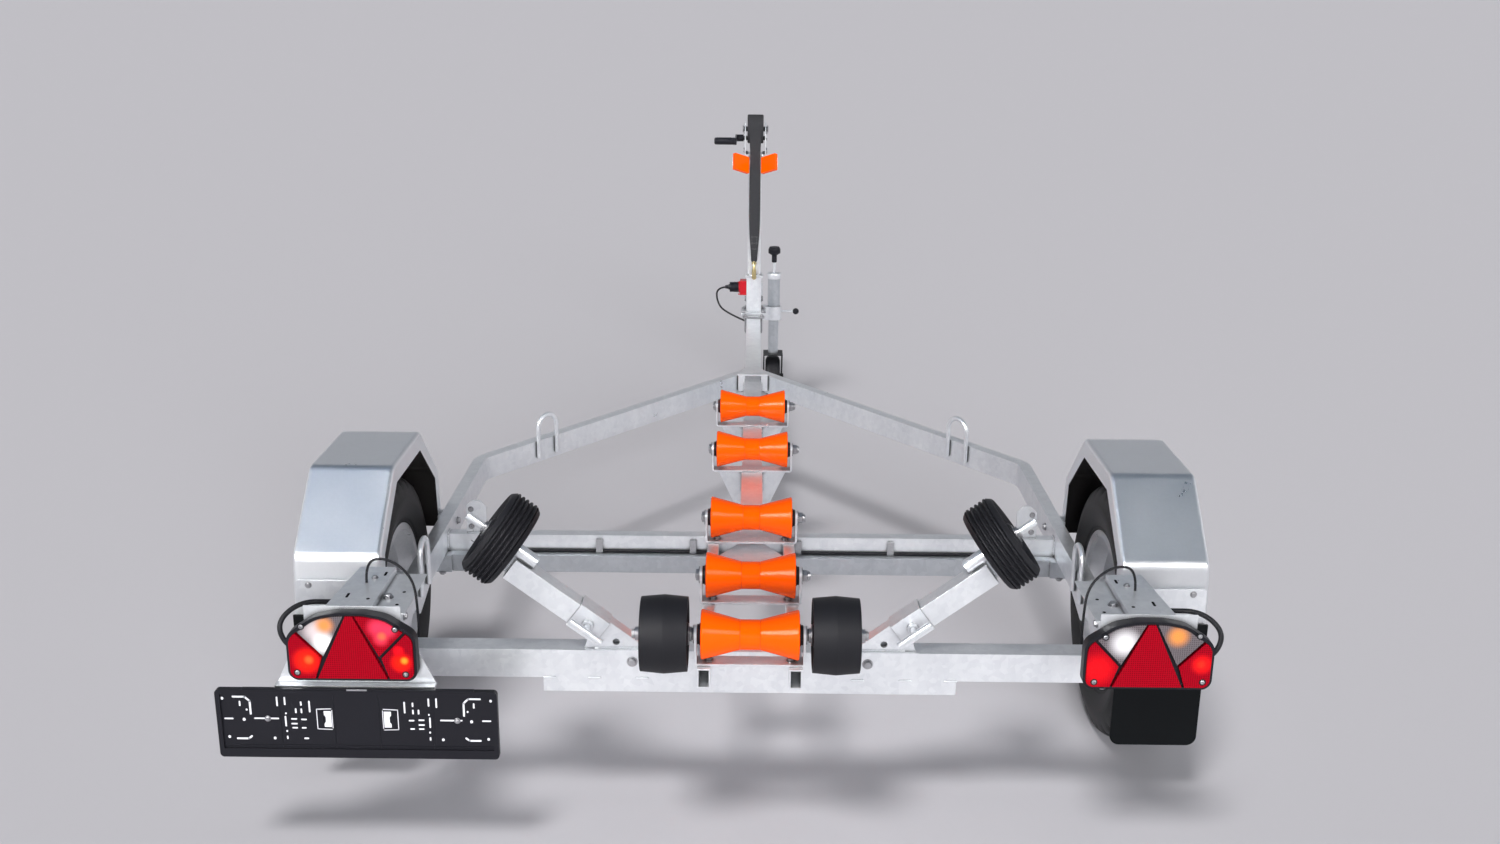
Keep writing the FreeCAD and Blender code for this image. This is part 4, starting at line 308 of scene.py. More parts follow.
# Road tyres: a moulded radial with three grooves round the tread, cut shoulder blocks and
# raised rings on the walls, fitted over the plain tyre that the frame carries.
class Heap:
    """Points and faces of one piece, in millimetres until it is made."""
    METRES, MERGED, SLIVER = 0.001, 2e-6, 1e-6

    def __init__(self):
        self.points, self.faces = [], []

    def add(self, points, faces, where=None):
        """Points, moved to their place, and the faces between them."""
        start = len(self.points)
        self.points += [where @ Vector(p) if where else Vector(p) for p in points]
        self.faces += [tuple(start + i for i in face) for face in faces]

    def lathe(self, outline, steps, where, inset=None):
        """A closed outline of (radius, height) turned about the local Z."""
        count, points, faces = len(outline), [], []
        for step in range(steps):
            around = 2 * math.pi * step / steps
            for index, (radius, height) in enumerate(outline):
                if inset:
                    radius -= inset(step, index)
                points.append((radius * math.cos(around), radius * math.sin(around), height))
        for step in range(steps):
            this, ahead = step * count, (step + 1) % steps * count
            for index in range(count):
                beside = (index + 1) % count
                faces.append((this + index, ahead + index, ahead + beside, this + beside))
        self.add(points, faces, where)

    def loft(self, rings):
        """Rings of as many points each, joined in order and closed at both ends."""
        count = len(rings[0])
        last = (len(rings) - 1) * count
        faces = [tuple(range(count - 1, -1, -1)), tuple(range(last, last + count))]
        for low in range(0, last, count):
            faces += [(low + k, low + (k + 1) % count, low + count + (k + 1) % count, low + count + k)
                      for k in range(count)]
        self.add([p for ring in rings for p in ring], faces)

    def slab(self, outline, near, far, where=None):
        """A flat outline made thick along the local Z."""
        count = len(outline)
        points = [(u, v, near) for u, v in outline] + [(u, v, far) for u, v in outline]
        faces = [tuple(range(count - 1, -1, -1)), tuple(range(count, 2 * count))]
        faces += [(i, (i + 1) % count, count + (i + 1) % count, count + i) for i in range(count)]
        self.add(points, faces, where)

    def done(self, name, paint, body, slot, smooth=35):
        """The finished piece, riding on its body; the slot argument is not used."""
        mesh = bpy.data.meshes.new(name)
        mesh.from_pydata([p * self.METRES for p in self.points], [], self.faces)
        welded = bmesh.new()
        welded.from_mesh(mesh)
        bmesh.ops.remove_doubles(welded, verts=welded.verts, dist=self.MERGED)
        bmesh.ops.dissolve_degenerate(welded, edges=welded.edges, dist=self.SLIVER)
        bmesh.ops.recalc_face_normals(welded, faces=welded.faces)
        welded.to_mesh(mesh)
        welded.free()
        for face in mesh.polygons:
            face.use_smooth = True
        mesh.set_sharp_from_angle(angle=math.radians(smooth))
        mesh.materials.append(paint)
        piece = bpy.data.objects.new(name, mesh)
        scene.collection.objects.link(piece)
        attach(piece, body)
        return piece


def facing(at, toward):
    """The place of a piece whose Z looks along a direction."""
    z = Vector(toward).normalized()
    up = Vector((0, 1, 0)) if abs(z.z) > 0.99 else Vector((0, 0, 1))
    x = up.cross(z).normalized()
    y = z.cross(x)
    return Matrix.Translation(at) @ Matrix((x, y, z)).transposed().to_4x4()


WHEEL_OUT, AXLE_UP = 840, 281
TREAD = [(165.3, -56.7), (178, -56.7), (181, -60), (186, -60.5), (188, -64), (205, -71.5), (222, -74.6),
         (226, -75), (231, -74.2), (236, -73.4), (238, -72.0), (252, -68.5), (262, -65), (268, -61.5),
         (274, -54), (278.4, -46), (280.0, -38), (280.2, -29.5), (273.5, -28.6), (273.5, -24.4), (280.5, -23.5),
         (280.9, -12), (281, -4.5), (274, -3.7), (274, 3.7)]
TREAD += [(radius, -height) for radius, height in reversed(TREAD[:23])] + [(165.3, 0)]
OUTER_RIB, OUTER_CUT, MIDDLE_RIB, MIDDLE_CUT, CUT_EVERY = range(12, 18), 6.0, (20, 21), 4.0, 5


def shoulder_cut(step, index):
    """Cross grooves in the outer ribs, and fine cuts in the middle ones."""
    inner = min(index, len(TREAD) - 1 - index)
    if inner in OUTER_RIB:
        return OUTER_CUT if step % CUT_EVERY == 0 else 0.0
    if inner in MIDDLE_RIB:
        return MIDDLE_CUT if step % CUT_EVERY == 2 else 0.0
    return 0.0


for side, sign in (("right", 1.0), ("left", -1.0)):
    tyre = Heap()
    tyre.lathe(TREAD, 180, facing((WHEEL_OUT * sign, 0, AXLE_UP), (sign, 0, 0)), shoulder_cut)
    piece = tyre.done("treaded_tyre_" + side, tyre_rubber, "wheel_" + side, "tyre_rubber", 28)
    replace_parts(piece, "tyre_" + side)


# Small steel fittings of the wheels: four bolts, the tyre valve and a pressed cap over
# the hub nut, each turning with its wheel.
def bolt(heap, at, toward, size, washer=True):
    """A hexagon head on a washer, its foot at the given point."""
    where = facing(at, toward)
    foot = 0.0
    if washer:
        foot = size * 0.22
        heap.lathe([(0, 0), (size * 1.3, 0), (size * 1.3, foot), (0, foot)], 20, where)
    heap.lathe([(0, foot), (size, foot), (size, foot + size * 0.62), (size * 0.84, foot + size * 0.74),
                (0, foot + size * 0.74)], 6, where)


DISC_OUT, VALVE_OUT, CAP_OUT = WHEEL_OUT + 23.6, WHEEL_OUT + 30, WHEEL_OUT + 20.5
BOLT_CIRCLE, VALVE_CIRCLE = 50, 128
VALVE = [(0, 0), (4.2, 0), (4.2, 16), (3.6, 18), (5, 18.5), (5, 27), (3.5, 29), (0, 29)]
for side, sign in (("right", 1.0), ("left", -1.0)):
    fittings = Heap()
    for turn in range(4):
        across, up = BOLT_CIRCLE * math.cos(math.pi * turn / 2), BOLT_CIRCLE * math.sin(math.pi * turn / 2)
        bolt(fittings, (DISC_OUT * sign, across, AXLE_UP + up), (sign, 0, 0), 9.5)
    fittings.lathe(VALVE, 14, facing((VALVE_OUT * sign, 0, AXLE_UP + VALVE_CIRCLE), (sign, 0, 0.35)))
    fittings.lathe([(27.2, 0), (28.4, 0), (28.4, 5), (27.2, 6)], 40,
                   facing((CAP_OUT * sign, 0, AXLE_UP), (sign, 0, 0)))
    fittings.done("wheel_fittings_" + side, bolts, "wheel_" + side, "zinc_bolts")


# Support wheels: solid rubber with round ribs and grooves between them, on a steel-lined
# hub whose axle leans outward.
LEAN, HUB_OUT, HUB_Y, HUB_UP = math.radians(37), 489.27, -337, 567.84
CROWN, RIB_DEPTH, RIB_PITCH, RIBS_HALF, RIB_STEPS = 92, 5.5, 9.6, 24, 80
WALL = [(8.6, -34), (24, -34), (27, -31), (29, -24.5), (55, -24.5), (70, -25.5), (72, -29), (76, -33), (79, -34),
        (82, -33.6), (84.5, -31.5)]
ribs = []
for index in range(RIB_STEPS + 1):
    out = 2 * RIBS_HALF * index / RIB_STEPS - RIBS_HALF
    edge = 0.3 if index in (0, RIB_STEPS) else 1
    wave = abs(math.cos(math.pi * (out + RIBS_HALF) / RIB_PITCH)) ** 3
    ribs.append((CROWN - RIB_DEPTH * wave * edge, out))
for side, sign in (("right", 1.0), ("left", -1.0)):
    axle = facing((HUB_OUT * sign, HUB_Y, HUB_UP), (math.cos(LEAN) * sign, 0, math.sin(LEAN)))
    wheel = Heap()
    wheel.lathe(WALL + ribs + [(radius, -height) for radius, height in reversed(WALL)], 96, axle)
    piece = wheel.done("ribbed_wheel_" + side, rubber, "support_wheel_" + side, "black_rubber", 50)
    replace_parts(piece, "support_wheel_" + side)
    bush = Heap()
    bush.lathe([(8.5, 34.2), (19, 34.2), (19, 36), (13, 36.4), (13, 42), (8.5, 42)], 24, axle)
    bush.done("wheel_bush_" + side, bolts, "frame", "zinc_bolts")


# Keel rollers turn between black washers. Each pin has a steel washer at both ends, with
# a locknut on the right and a flat head on the left; the rearmost pin runs on, past
# spacers, to carry the two side rollers.
ROLLER_ROWS, ROLLER_UP, SIDE_ROLLER_END = (-491, -205, 135, 645, 1050), 440, 216
LOCKNUT = [(8.2, 118), (10.5, 118), (9.8, 121.4), (8.2, 121.4)]
PIN_HEAD = [(0, 113.1), (8, 113.1), (6.5, 114.6), (0, 114.6)]
SPACER = [(20.2, 116.0), (9, 116.0), (9, 110), (14, 110), (14, 114.5), (20.2, 114.5)]
for index, y in enumerate(ROLLER_ROWS):
    outward = [(sign, facing((0, y, ROLLER_UP), (sign, 0, 0))) for sign in (1.0, -1.0)]
    ends, nuts = Heap(), Heap()
    for sign, where in outward:
        ends.lathe([(15.2, 92.8), (21, 92.8), (21, 95.2), (19, 96), (19, 99.2), (15.2, 99.2)], 32, where)
        nuts.lathe([(13.4, 105.1), (17.5, 105.1), (17.5, 107.1), (13.4, 107.1)], 28, where)
        if index:
            nuts.lathe(LOCKNUT if sign > 0 else PIN_HEAD, 24, where)
        else:
            nuts.lathe(SPACER, 28, where)
            bolt(nuts, (SIDE_ROLLER_END * sign, y, ROLLER_UP), (sign, 0, 0), 9, False)
    ends.done("roller_washers_%d" % (index + 1), rubber, "keel_roller_%d" % (index + 1), "black_rubber")
    nuts.done("pin_washers_%d" % (index + 1), bolts, "frame", "zinc_bolts")


# Welds: the frame's tube and bracket joints carry rippled beads of dipped weld metal, on
# both sides alike. Each bead runs from a start to an end and has a radius.
RIPPLE, RIPPLE_LOW, RIPPLE_RISE = 3.4, 0.86, 0.18


def bead(heap, start, end, radius):
    """A rippled run of weld between two points."""
    start, end = Vector(start), Vector(end)
    length = (end - start).length
    count = max(3, int(length / RIPPLE))
    ripples = [(radius * (RIPPLE_LOW + RIPPLE_RISE * (index % 2)), length * (index + 0.5) / count)
               for index in range(count)]
    heap.lathe([(0, 0)] + ripples + [(0, length)], 9, facing(start, end - start))


MIRRORED_BEADS = (((705, 159, 381), (705, 159, 343), 3.2), ((705, 191, 381), (705, 191, 343), 3.2),
                  ((705, 160, 381.6), (705, 190, 381.6), 3.2), ((74, 160, 381), (74, 160, 343), 3.2),
                  ((99, 160, 381), (99, 160, 343), 3.2), ((74, -312, 342.4), (74, -362, 342.4), 2.8),
                  ((99, -312, 342.4), (99, -362, 342.4), 2.8), ((705, -362, 342.4), (705, -312, 342.4), 2.8),
                  ((705, -362.3, 342), (735, -362.3, 342), 2.8), ((27.4, 1563, 352), (27.4, 1563, 398), 3.0),
                  ((615.5, 169, 382.3), (660.5, 169, 382.3), 2.4), ((27, 190.4, 381), (27, 190.4, 326), 3.0),
                  ((212, -352, 342.3), (310, -352, 342.3), 2.4), ((28, 642, 381.8), (88, 642, 381.8), 2.2),
                  ((28, 1047, 381.8), (88, 1047, 381.8), 2.2), ((28.8, 2501, 394.3), (28.8, 2537, 394.3), 2.4),
                  ((28.8, 2537, 394.3), (28.8, 2573, 394.3), 2.4))
joints = Heap()
for sign in (1.0, -1.0):
    for start, end, radius in MIRRORED_BEADS:
        bead(joints, (start[0] * sign, *start[1:]), (end[0] * sign, *end[1:]), radius)
bead(joints, (-28.5, 2518.2, 394.3), (28.5, 2518.2, 394.3), 2.4)
bead(joints, (-25, 2521.6, 536.4), (25, 2521.6, 536.4), 2.2)
for x in (-400, -310, -215, 215, 310, 400):
    bead(joints, (x - 14, -362.2, 282.2), (x + 14, -362.2, 282.2), 2.4)
joints.done("weld_beads", steel, "frame", "galvanised_steel", 60)


# Bolts that hold the frame together: roller brackets on the cradle and drawbar, side
# supports on the rear beam, the axle seats, lamp consoles, mudguards and flaps. A row
# gives where they are on the right side, which way they look there, and their size.
UP, DOWN, FRONT, REAR, LEFT, RIGHT = (0, 0, 1), (0, 0, -1), (0, 1, 0), (0, -1, 0), (-1, 0, 0), (1, 0, 0)
MIRRORED_BOLTS = (
    (((77.85, -491, 387), (77.85, -205, 387), (77.85, 135, 387)), UP, 7),
    (((234, -362, 318),), REAR, 8), (((234, -312, 318),), FRONT, 8), (((245.7, -312, 300),), FRONT, 6),
    (((300, -337, 282), (713, 127, 302), (713, 175, 302)), DOWN, 7),
    (((688, -446, 488),), UP, 7.4), (((728, -385, 502),), UP, 5),
    (((672, -516.5, 400), (804, -516.5, 400), (672, -516.5, 470), (804, -516.5, 470)), FRONT, 4.5),
    (((888, -296.2, 447), (790, -296.2, 447)), REAR, 5.2),
    (((775, -300.3, 366), (834, -300.3, 366), (893, -300.3, 366)), REAR, 5),
    (((775, 300.3, 366), (834, 300.3, 366), (893, 300.3, 366)), FRONT, 5),
    (((704.8, -275, 372), (704.8, 275, 372)), LEFT, 7),
    (((650, 169.4, 398), (650, 169.4, 440), (626, 169.4, 398)), REAR, 5),
    (((38, 2509, 394), (38, 2585, 394)), UP, 6.5), (((32.5, 2520, 1000), (32.5, 2574, 1000)), UP, 5),
    (((31, 2955, 352), (31, 2990, 352)), RIGHT, 8))
frame_bolts = Heap()
for places, (out, along, up), size in MIRRORED_BOLTS:
    for sign in (1.0, -1.0):
        for x, y, z in places:
            bolt(frame_bolts, (x * sign, y, z), (out * sign, along, up), size)
frame_bolts.done("frame_bolts", bolts, "frame", "zinc_bolts")


# Loose steel fittings: U-bolts round the drawbar under the winch post, with the plate
# that they hold, and thin foot plates on the mudguards' rear feet.
def rod_along(heap, points, radius, sides=12):
    """A bent round bar through the points."""
    route = [Vector(p) for p in points]
    turns = [2 * math.pi * k / sides for k in range(sides)]
    rings = []
    for index, at in enumerate(route):
        before, after = route[max(index - 1, 0)], route[min(index + 1, len(route) - 1)]
        where = facing(at, after - before)
        rings.append([where @ Vector((radius * math.cos(t), radius * math.sin(t), 0)) for t in turns])
    heap.loft(rings)


LEG_OUT, BEND, BOLT_FOOT, BOLT_TOP = 31, 8, 330, 398
PLATE_LOW, PLATE_TOP, PLATE_OUT, PLATE_HALF = 382.2, 387, 42, 12
fixings = Heap()
for y in (2470, 2624):
    arc = [(-LEG_OUT, y, 372), (-LEG_OUT, y, BOLT_FOOT)]
    arc += [(BEND - LEG_OUT - BEND * math.cos(t), y, BOLT_FOOT - BEND * math.sin(t)) for t in (0.5, 1.0)]
    arc += [(-23, y, 321.5), (23, y, 321.5)]
    arc += [(LEG_OUT - BEND + BEND * math.cos(t), y, BOLT_FOOT - BEND * math.sin(t)) for t in (1.0, 0.5)]
    rod_along(fixings, arc + [(LEG_OUT, y, BOLT_FOOT), (LEG_OUT, y, 372), (LEG_OUT, y, BOLT_TOP)], 4)
    rod_along(fixings, [(-LEG_OUT, y, 370), (-LEG_OUT, y, BOLT_TOP)], 4)
    fixings.slab([(-PLATE_OUT, y - PLATE_HALF), (PLATE_OUT, y - PLATE_HALF), (PLATE_OUT, y + PLATE_HALF),
                  (-PLATE_OUT, y + PLATE_HALF)], PLATE_LOW, PLATE_TOP)
    for x in (-LEG_OUT, LEG_OUT):
        bolt(fixings, (x, y, PLATE_TOP), UP, 7)
fixings.done("drawbar_clamps", bolts, "frame", "zinc_bolts")
UPRIGHT = Matrix(((1, 0, 0, 0), (0, 0, -1, 0), (0, 1, 0, 0), (0, 0, 0, 1)))
FOOT, FOOT_FROM, FOOT_TO = ((745, 395), (915, 395), (915, 452), (909, 458), (751, 458), (745, 452)), 295.1, 296.4
folds = Heap()
for sign in (1.0, -1.0):
    folds.slab([(x * sign, z) for x, z in FOOT], FOOT_FROM, FOOT_TO, UPRIGHT)
folds.done("mudguard_foot_plates", steel, "frame", "galvanised_steel")


# Cables: the plug's lead from the drawbar up to the plug, the lamp leads over the
# consoles, the hoses round to the lamps, and the pair clipped along the cross beam.
def lead(name, points, radius):
    """A smooth black cable that follows the route's points, in metres."""
    curve = bpy.data.curves.new(name, "CURVE")
    curve.dimensions = "3D"
    curve.bevel_depth, curve.bevel_resolution, curve.resolution_u = radius, 5, 16
    curve.use_fill_caps = True
    line = curve.splines.new("NURBS")
    line.points.add(len(points) - 1)
    for control, point in zip(line.points, points):
        control.co = (*point, 1.0)
    line.order_u = 3
    line.use_endpoint_u = True
    curve.materials.append(rubber)
    piece = bpy.data.objects.new(name, curve)
    scene.collection.objects.link(piece)
    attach(piece, "frame")
    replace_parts(piece, "cables")
    return piece


lead("plug_cable", [(-0.0288, 2.487, 0.3645), (-0.1115, 2.517, 0.3925), (-0.1435, 2.547, 0.4285),
                            (-0.1435, 2.547, 0.4865), (-0.0935, 2.547, 0.4865)], 0.0035)
for side, sign in (("right", 1.0), ("left", -1.0)):
    lead("lamp_lead_" + side, [(0.7383 * sign, -0.408, 0.5023), (0.7383 * sign, -0.408, 0.548),
                                       (0.688 * sign, -0.425, 0.560), (0.640 * sign, -0.445, 0.530),
                                       (0.629 * sign, -0.462, 0.476), (0.628 * sign, -0.470, 0.420)], 0.0025)
    lead("lamp_hose_" + side, [(0.7078 * sign, -0.446, 0.478), (0.790 * sign, -0.446, 0.478),
                                       (0.851 * sign, -0.472, 0.489), (0.889 * sign, -0.503, 0.455),
                                       (0.858 * sign, -0.5107, 0.402), (0.812 * sign, -0.5107, 0.402)], 0.005)
    lead("beam_cable_" + side, [(0.0993 * sign, 0.1562, 0.3458), (0.2794 * sign, 0.1562, 0.3458),
                                        (0.4597 * sign, 0.1562, 0.3458), (0.640 * sign, 0.1562, 0.3458)], 0.0035)


# The plug: moulded body with grip ridges, a collar and a stepped strain relief, held in
# a red parking socket with a lip round its mouth and two ribs on its rear face.
POST_Y, PLUG_UP = 2547, 486.5
RIDGE_PITCH, BODY, RIDGE = 3.6, 18.9, 20.0
grips = Heap()
for index in range(6):
    low = 2 + index * RIDGE_PITCH
    grips.lathe([(BODY, low), (RIDGE, low + 0.6), (RIDGE, low + 2.2), (BODY, low + 2.8)], 28,
                facing((-55, POST_Y, PLUG_UP), LEFT))
grips.lathe([(3.7, 0), (11, 0), (10, 5), (7.4, 5.5), (7.4, 8), (8.2, 8.5), (7, 12), (6.4, 12.4), (7, 13), (6.2, 17),
             (3.7, 18)], 24, facing((-93.6, POST_Y, PLUG_UP), LEFT))
grips.done("plug_grip", plastic, "frame", "black_plastic")
mouth = Heap()
mouth.lathe([(19.4, 0), (22.6, 0), (22.6, 4), (21.6, 5), (19.4, 5)], 40, facing((-53.6, POST_Y, PLUG_UP), LEFT))
for z in (463, 510):
    mouth.slab([(-19, -2), (19, -2), (19, 2), (-19, 2)], 0, 1.4, facing((-42, 2524.9, z), REAR))
mouth.done("plug_socket_lip", socket_red, "frame", "red_plastic")


# Lamp lenses: a clear face over a grid of small prisms, with soft brighter places painted on it
# and glowing weakly, for light caught by the bulbs and reflectors behind. Each has four screws on rubber seals.
painted_lens_glow, given, result = shader_group("painted_lens_glow", ("Centre", "INPUT", "Vector", None),
                                        ("Reach", "INPUT", "Float", 0.02), ("Mask", "OUTPUT", "Float", None))
spot = wire(painted_lens_glow, "ShaderNodeTexCoord")
flat = wire(painted_lens_glow, "ShaderNodeVectorMath", {1: (1.0, 0.0, 1.0)}, operation="MULTIPLY")
away = wire(painted_lens_glow, "ShaderNodeVectorMath", operation="DISTANCE")
share = wire(painted_lens_glow, "ShaderNodeMath", operation="DIVIDE")
fall = wire(painted_lens_glow, "ShaderNodeMapRange", {"From Min": 1.0, "From Max": 0.15}, interpolation_type="SMOOTHSTEP")
join(painted_lens_glow, (spot.outputs["Object"], flat.inputs[0]), (flat.outputs[0], away.inputs[0]),
     (given.outputs["Centre"], away.inputs[1]), (away.outputs["Value"], share.inputs[0]),
     (given.outputs["Reach"], share.inputs[1]), (share.outputs[0], fall.inputs["Value"]),
     (fall.outputs["Result"], result.inputs["Mask"]))
PRISM_WAVE, PRISM_DARK, LENS_COAT = 78.0, 0.32, 0.04


def lens_paint(name, colour, rough, painted_glows, shine, lit):
    """A lens with prisms in rows and columns, and painted, weakly glowing bright places for the light on its bulbs.
    """
    paint, t, skin = new_paint(name)
    place = wire(t, "ShaderNodeTexCoord")
    both = wire(t, "ShaderNodeMath", operation="MAXIMUM")
    for socket, axis in enumerate(("Z", "X")):
        wave = wire(t, "ShaderNodeTexWave", {"Scale": PRISM_WAVE}, bands_direction=axis)
        join(t, (place.outputs["Object"], wave.inputs["Vector"]), (wave.outputs["Fac"], both.inputs[socket]))
    bump = wire(t, "ShaderNodeBump", {"Strength": 0.35, "Distance": 0.0008})
    grid = wire(t, "ShaderNodeMix", data_type="RGBA")
    grid.inputs["A"].default_value = tuple(c * PRISM_DARK for c in colour) + (1.0,)
    grid.inputs["B"].default_value = colour + (1.0,)
    join(t, (both.outputs[0], bump.inputs["Height"]), (bump.outputs["Normal"], skin.inputs["Normal"]),
         (both.outputs[0], grid.inputs["Factor"]))
    tint, light = grid.outputs["Result"], None
    for x, z, reach, shade in painted_glows:
        painted_spot = wire(t, "ShaderNodeGroup", node_tree=painted_lens_glow)
        painted_spot.inputs["Centre"].default_value = (x * 0.001, 0.0, z * 0.001)
        painted_spot.inputs["Reach"].default_value = reach * 0.001
        mix = wire(t, "ShaderNodeMix", data_type="RGBA")
        mix.inputs["B"].default_value = shade + (1.0,)
        add = wire(t, "ShaderNodeMix", data_type="RGBA")
        add.inputs["A"].default_value = (0.0, 0.0, 0.0, 1.0)
        add.inputs["B"].default_value = shade + (1.0,)
        join(t, (painted_spot.outputs["Mask"], mix.inputs["Factor"]), (tint, mix.inputs["A"]),
             (painted_spot.outputs["Mask"], add.inputs["Factor"]))
        if light:
            t.links.new(light, add.inputs["A"])
        tint, light = mix.outputs["Result"], add.outputs["Result"]
    # Painted light: the bright places tint the colour and also glow, though the lamps are off.
    join(t, (tint, skin.inputs["Base Color"]), (light, skin.inputs["Emission Color"]))
    skin.inputs["Emission Strength"].default_value = lit
    skin.inputs["Roughness"].default_value = rough
    skin.inputs["Coat Weight"].default_value = LENS_COAT
    skin.inputs["Specular IOR Level"].default_value = shine
    return paint


# Across, up and reach of each painted bright place in millimetres, and its colour.
RED_PAINTED_GLOWS = ((-686, 470, 27, (0.62, 0.03, 0.07)), (-668, 466, 24, (0.60, 0.03, 0.07)),
             (-681, 448, 20, (0.62, 0.03, 0.06)), (-679, 453, 12, (0.95, 0.10, 0.05)),
             (-821, 402, 34, (0.9, 0.015, 0.005)), (-817, 404, 12, (1.0, 0.09, 0.02)),
             (-646, 400, 26, (0.9, 0.012, 0.004)), (-640, 404, 10, (1.0, 0.22, 0.02)),
             (-650, 424, 14, (0.75, 0.004, 0.01)), (836, 414, 26, (0.72, 0.008, 0.008)),
             (834, 414, 11, (0.9, 0.02, 0.01)), (645, 402, 46, (0.55, 0.004, 0.008)))
CLEAR_PAINTED_GLOWS = ((-800, 462, 36, (0.5, 0.43, 0.44)), (-787, 437, 30, (0.80, 0.77, 0.77)),
               (-784, 474, 24, (0.62, 0.22, 0.06)), (690, 455, 38, (0.62, 0.60, 0.62)),
               (787, 470, 28, (0.62, 0.22, 0.05)))
dress(lens_paint("red_lens", (0.32, 0.0005, 0.009), 0.22, RED_PAINTED_GLOWS, 0.08, 0.3), "red_lenses")
dress(lens_paint("clear_lens", (0.13, 0.11, 0.12), 0.18, CLEAR_PAINTED_GLOWS, 0.3, 0.16), "clear_lenses")
LENS_FACE, LENS_CORNERS = -544, ((827, 471), (654, 467), (840, 378), (639, 376))
screws, seals = Heap(), Heap()
for sign in (1.0, -1.0):
    for x, z in LENS_CORNERS:
        where = facing((x * sign, LENS_FACE, z), REAR)
        screws.lathe([(0, 0.1), (4.6, 0.1), (4.2, 1.0), (3, 1.9), (1.4, 2.2), (1.3, 1.3), (0, 1.3)], 18, where)
        seals.lathe([(4.7, 0.0), (6.6, 0.0), (6.2, 0.7), (4.7, 0.7)], 18, where)
screws.done("lens_screws", bolts, "frame", "zinc_bolts")
seals.done("lens_screw_seals", rubber, "frame", "black_rubber")


# The number plate holder: rows of moulded slots and dots, drawn as pale strokes of painted light
# for the light through them, two clip windows, fold lines, two fixing screws and a latch on the top edge.
def stroke(heap, points, wide, tall, at, base=0.0):
    """A flat line of rounded runs through points, lying on a face."""
    half = wide / 2
    start_turns = [math.pi * (0.5 + k / 6) for k in range(7)]
    end_turns = [math.pi * (k / 6 - 0.5) for k in range(7)]
    for start, end in zip(points, points[1:]):
        along = Vector((end[0] - start[0], end[1] - start[1]))
        outline = [(half * math.cos(t), half * math.sin(t)) for t in start_turns]
        outline += [(along.length + half * math.cos(t), half * math.sin(t)) for t in end_turns]
        turn = Matrix.Rotation(math.atan2(along.y, along.x), 4, "Z")
        heap.slab(outline, base, base + tall, at @ Matrix.Translation((*start, 0)) @ turn)


# Each row gives a slot's middle on the right half, across and up, and its length, or a
# dot's width. The left half mirrors it.
HOLDER_X, HOLDER_FACE, HOLDER_Z = -734.5, -544, 273
SLOT, SLOT_TALL = 3.0, 0.3
UPRIGHT_SLOTS = ((149, 45, 17), (134.5, 46, 14), (135.5, 4, 19), (104.5, 41, 6), (104.5, 26, 7), (115, 26, 7),
                 (89, 35, 21), (219, 40, 8), (134.5, -30, 4))
LEVEL_SLOTS = ((119.5, 9, 8.5), (101, 8, 7.5), (119.5, -1, 9), (119, -9.5, 7.5), (102, -9.5, 6), (242, 8.5, 14))
DOTS = ((213.5, 6.5, 5.5), (158.5, -32, 5), (207, 27, 3.4), (134, 20, 3), (134.5, -17, 3.4), (251, 50, 5),
        (244, -30, 5))
# Bent slots and the clip windows' rims: their points, width and height.
BENT = ((((231, 54), (209, 54), (200, 45), (200, 19)), 3.6, SLOT_TALL),
        (((229, -33), (208, -33), (202, -28)), 3.6, SLOT_TALL), (((47.5, -9), (47.5, 28)), 1.2, 1.0),
        (((76, -11), (76, 30), (49, 31)), 1.4, 1.0), (((76, -11), (49, -12)), 1.2, 1.0))
WINDOW = ((49.5, -7), (63, -7), (63, 0), (60, 4), (60, 14), (63, 18), (63, 26), (49.5, 26))
face = facing((HOLDER_X, HOLDER_FACE, HOLDER_Z), REAR)
slots = Heap()
for sign in (1.0, -1.0):
    for x, z, long in UPRIGHT_SLOTS:
        stroke(slots, [(x * sign, z - long / 2), (x * sign, z + long / 2)], SLOT, SLOT_TALL, face)
    for x, z, long in LEVEL_SLOTS:
        stroke(slots, [((x - long / 2) * sign, z), ((x + long / 2) * sign, z)], SLOT, SLOT_TALL, face)
    for x, z, wide in DOTS:
        stroke(slots, [(x * sign, z), (x * sign, z + 0.8)], wide, SLOT_TALL, face)
    for points, wide, tall in BENT:
        stroke(slots, [(x * sign, z) for x, z in points], wide, tall, face)
    slots.slab([(x * sign, z) for x, z in WINDOW], 0.0, SLOT_TALL, face)
stroke(slots, [(-102, -31.5), (-96, -31.5)], 3.2, SLOT_TALL, face)
stroke(slots, [(-193, 9.5), (-149, 9.5)], SLOT, SLOT_TALL, face)
stroke(slots, [(156, 9), (195, 9)], SLOT, SLOT_TALL, face)
# Painted light: the slots are solid pale strokes, for the brightness that shows through them.
painted_slot_light = moulded("light_through_slots", (0.70, 0.70, 0.74), 0.6, grain=600.0)
slots.done("holder_slots", painted_slot_light, "frame", "black_plastic")
moulding = Heap()
for x in (-145, -44, 40, 141):
    stroke(moulding, [(x, -50), (x, 59)], 1.6, 1.0, face)
for sign in (1.0, -1.0):
    stroke(moulding, [(254 * sign, -22), (254 * sign, 34)], 1.2, 0.8, face)
    moulding.slab([(x * sign, z) for x, z in ((64, -4), (73, -4), (73, 24), (64, 24))], 0.0, 2.2, face)
    for x, z in ((112, 47), (118, 40), (96, 18)):
        stroke(moulding, [(x * sign, z), (x * sign, z + 4)], 2.2, 0.7, face)
stroke(moulding, [(-252, -46), (252, -46)], 1.6, 1.2, face)
moulding.slab([(-212, 70.4), (221, 70.4), (221, 72.6), (-212, 72.6)], -4.0, 3.6, face)
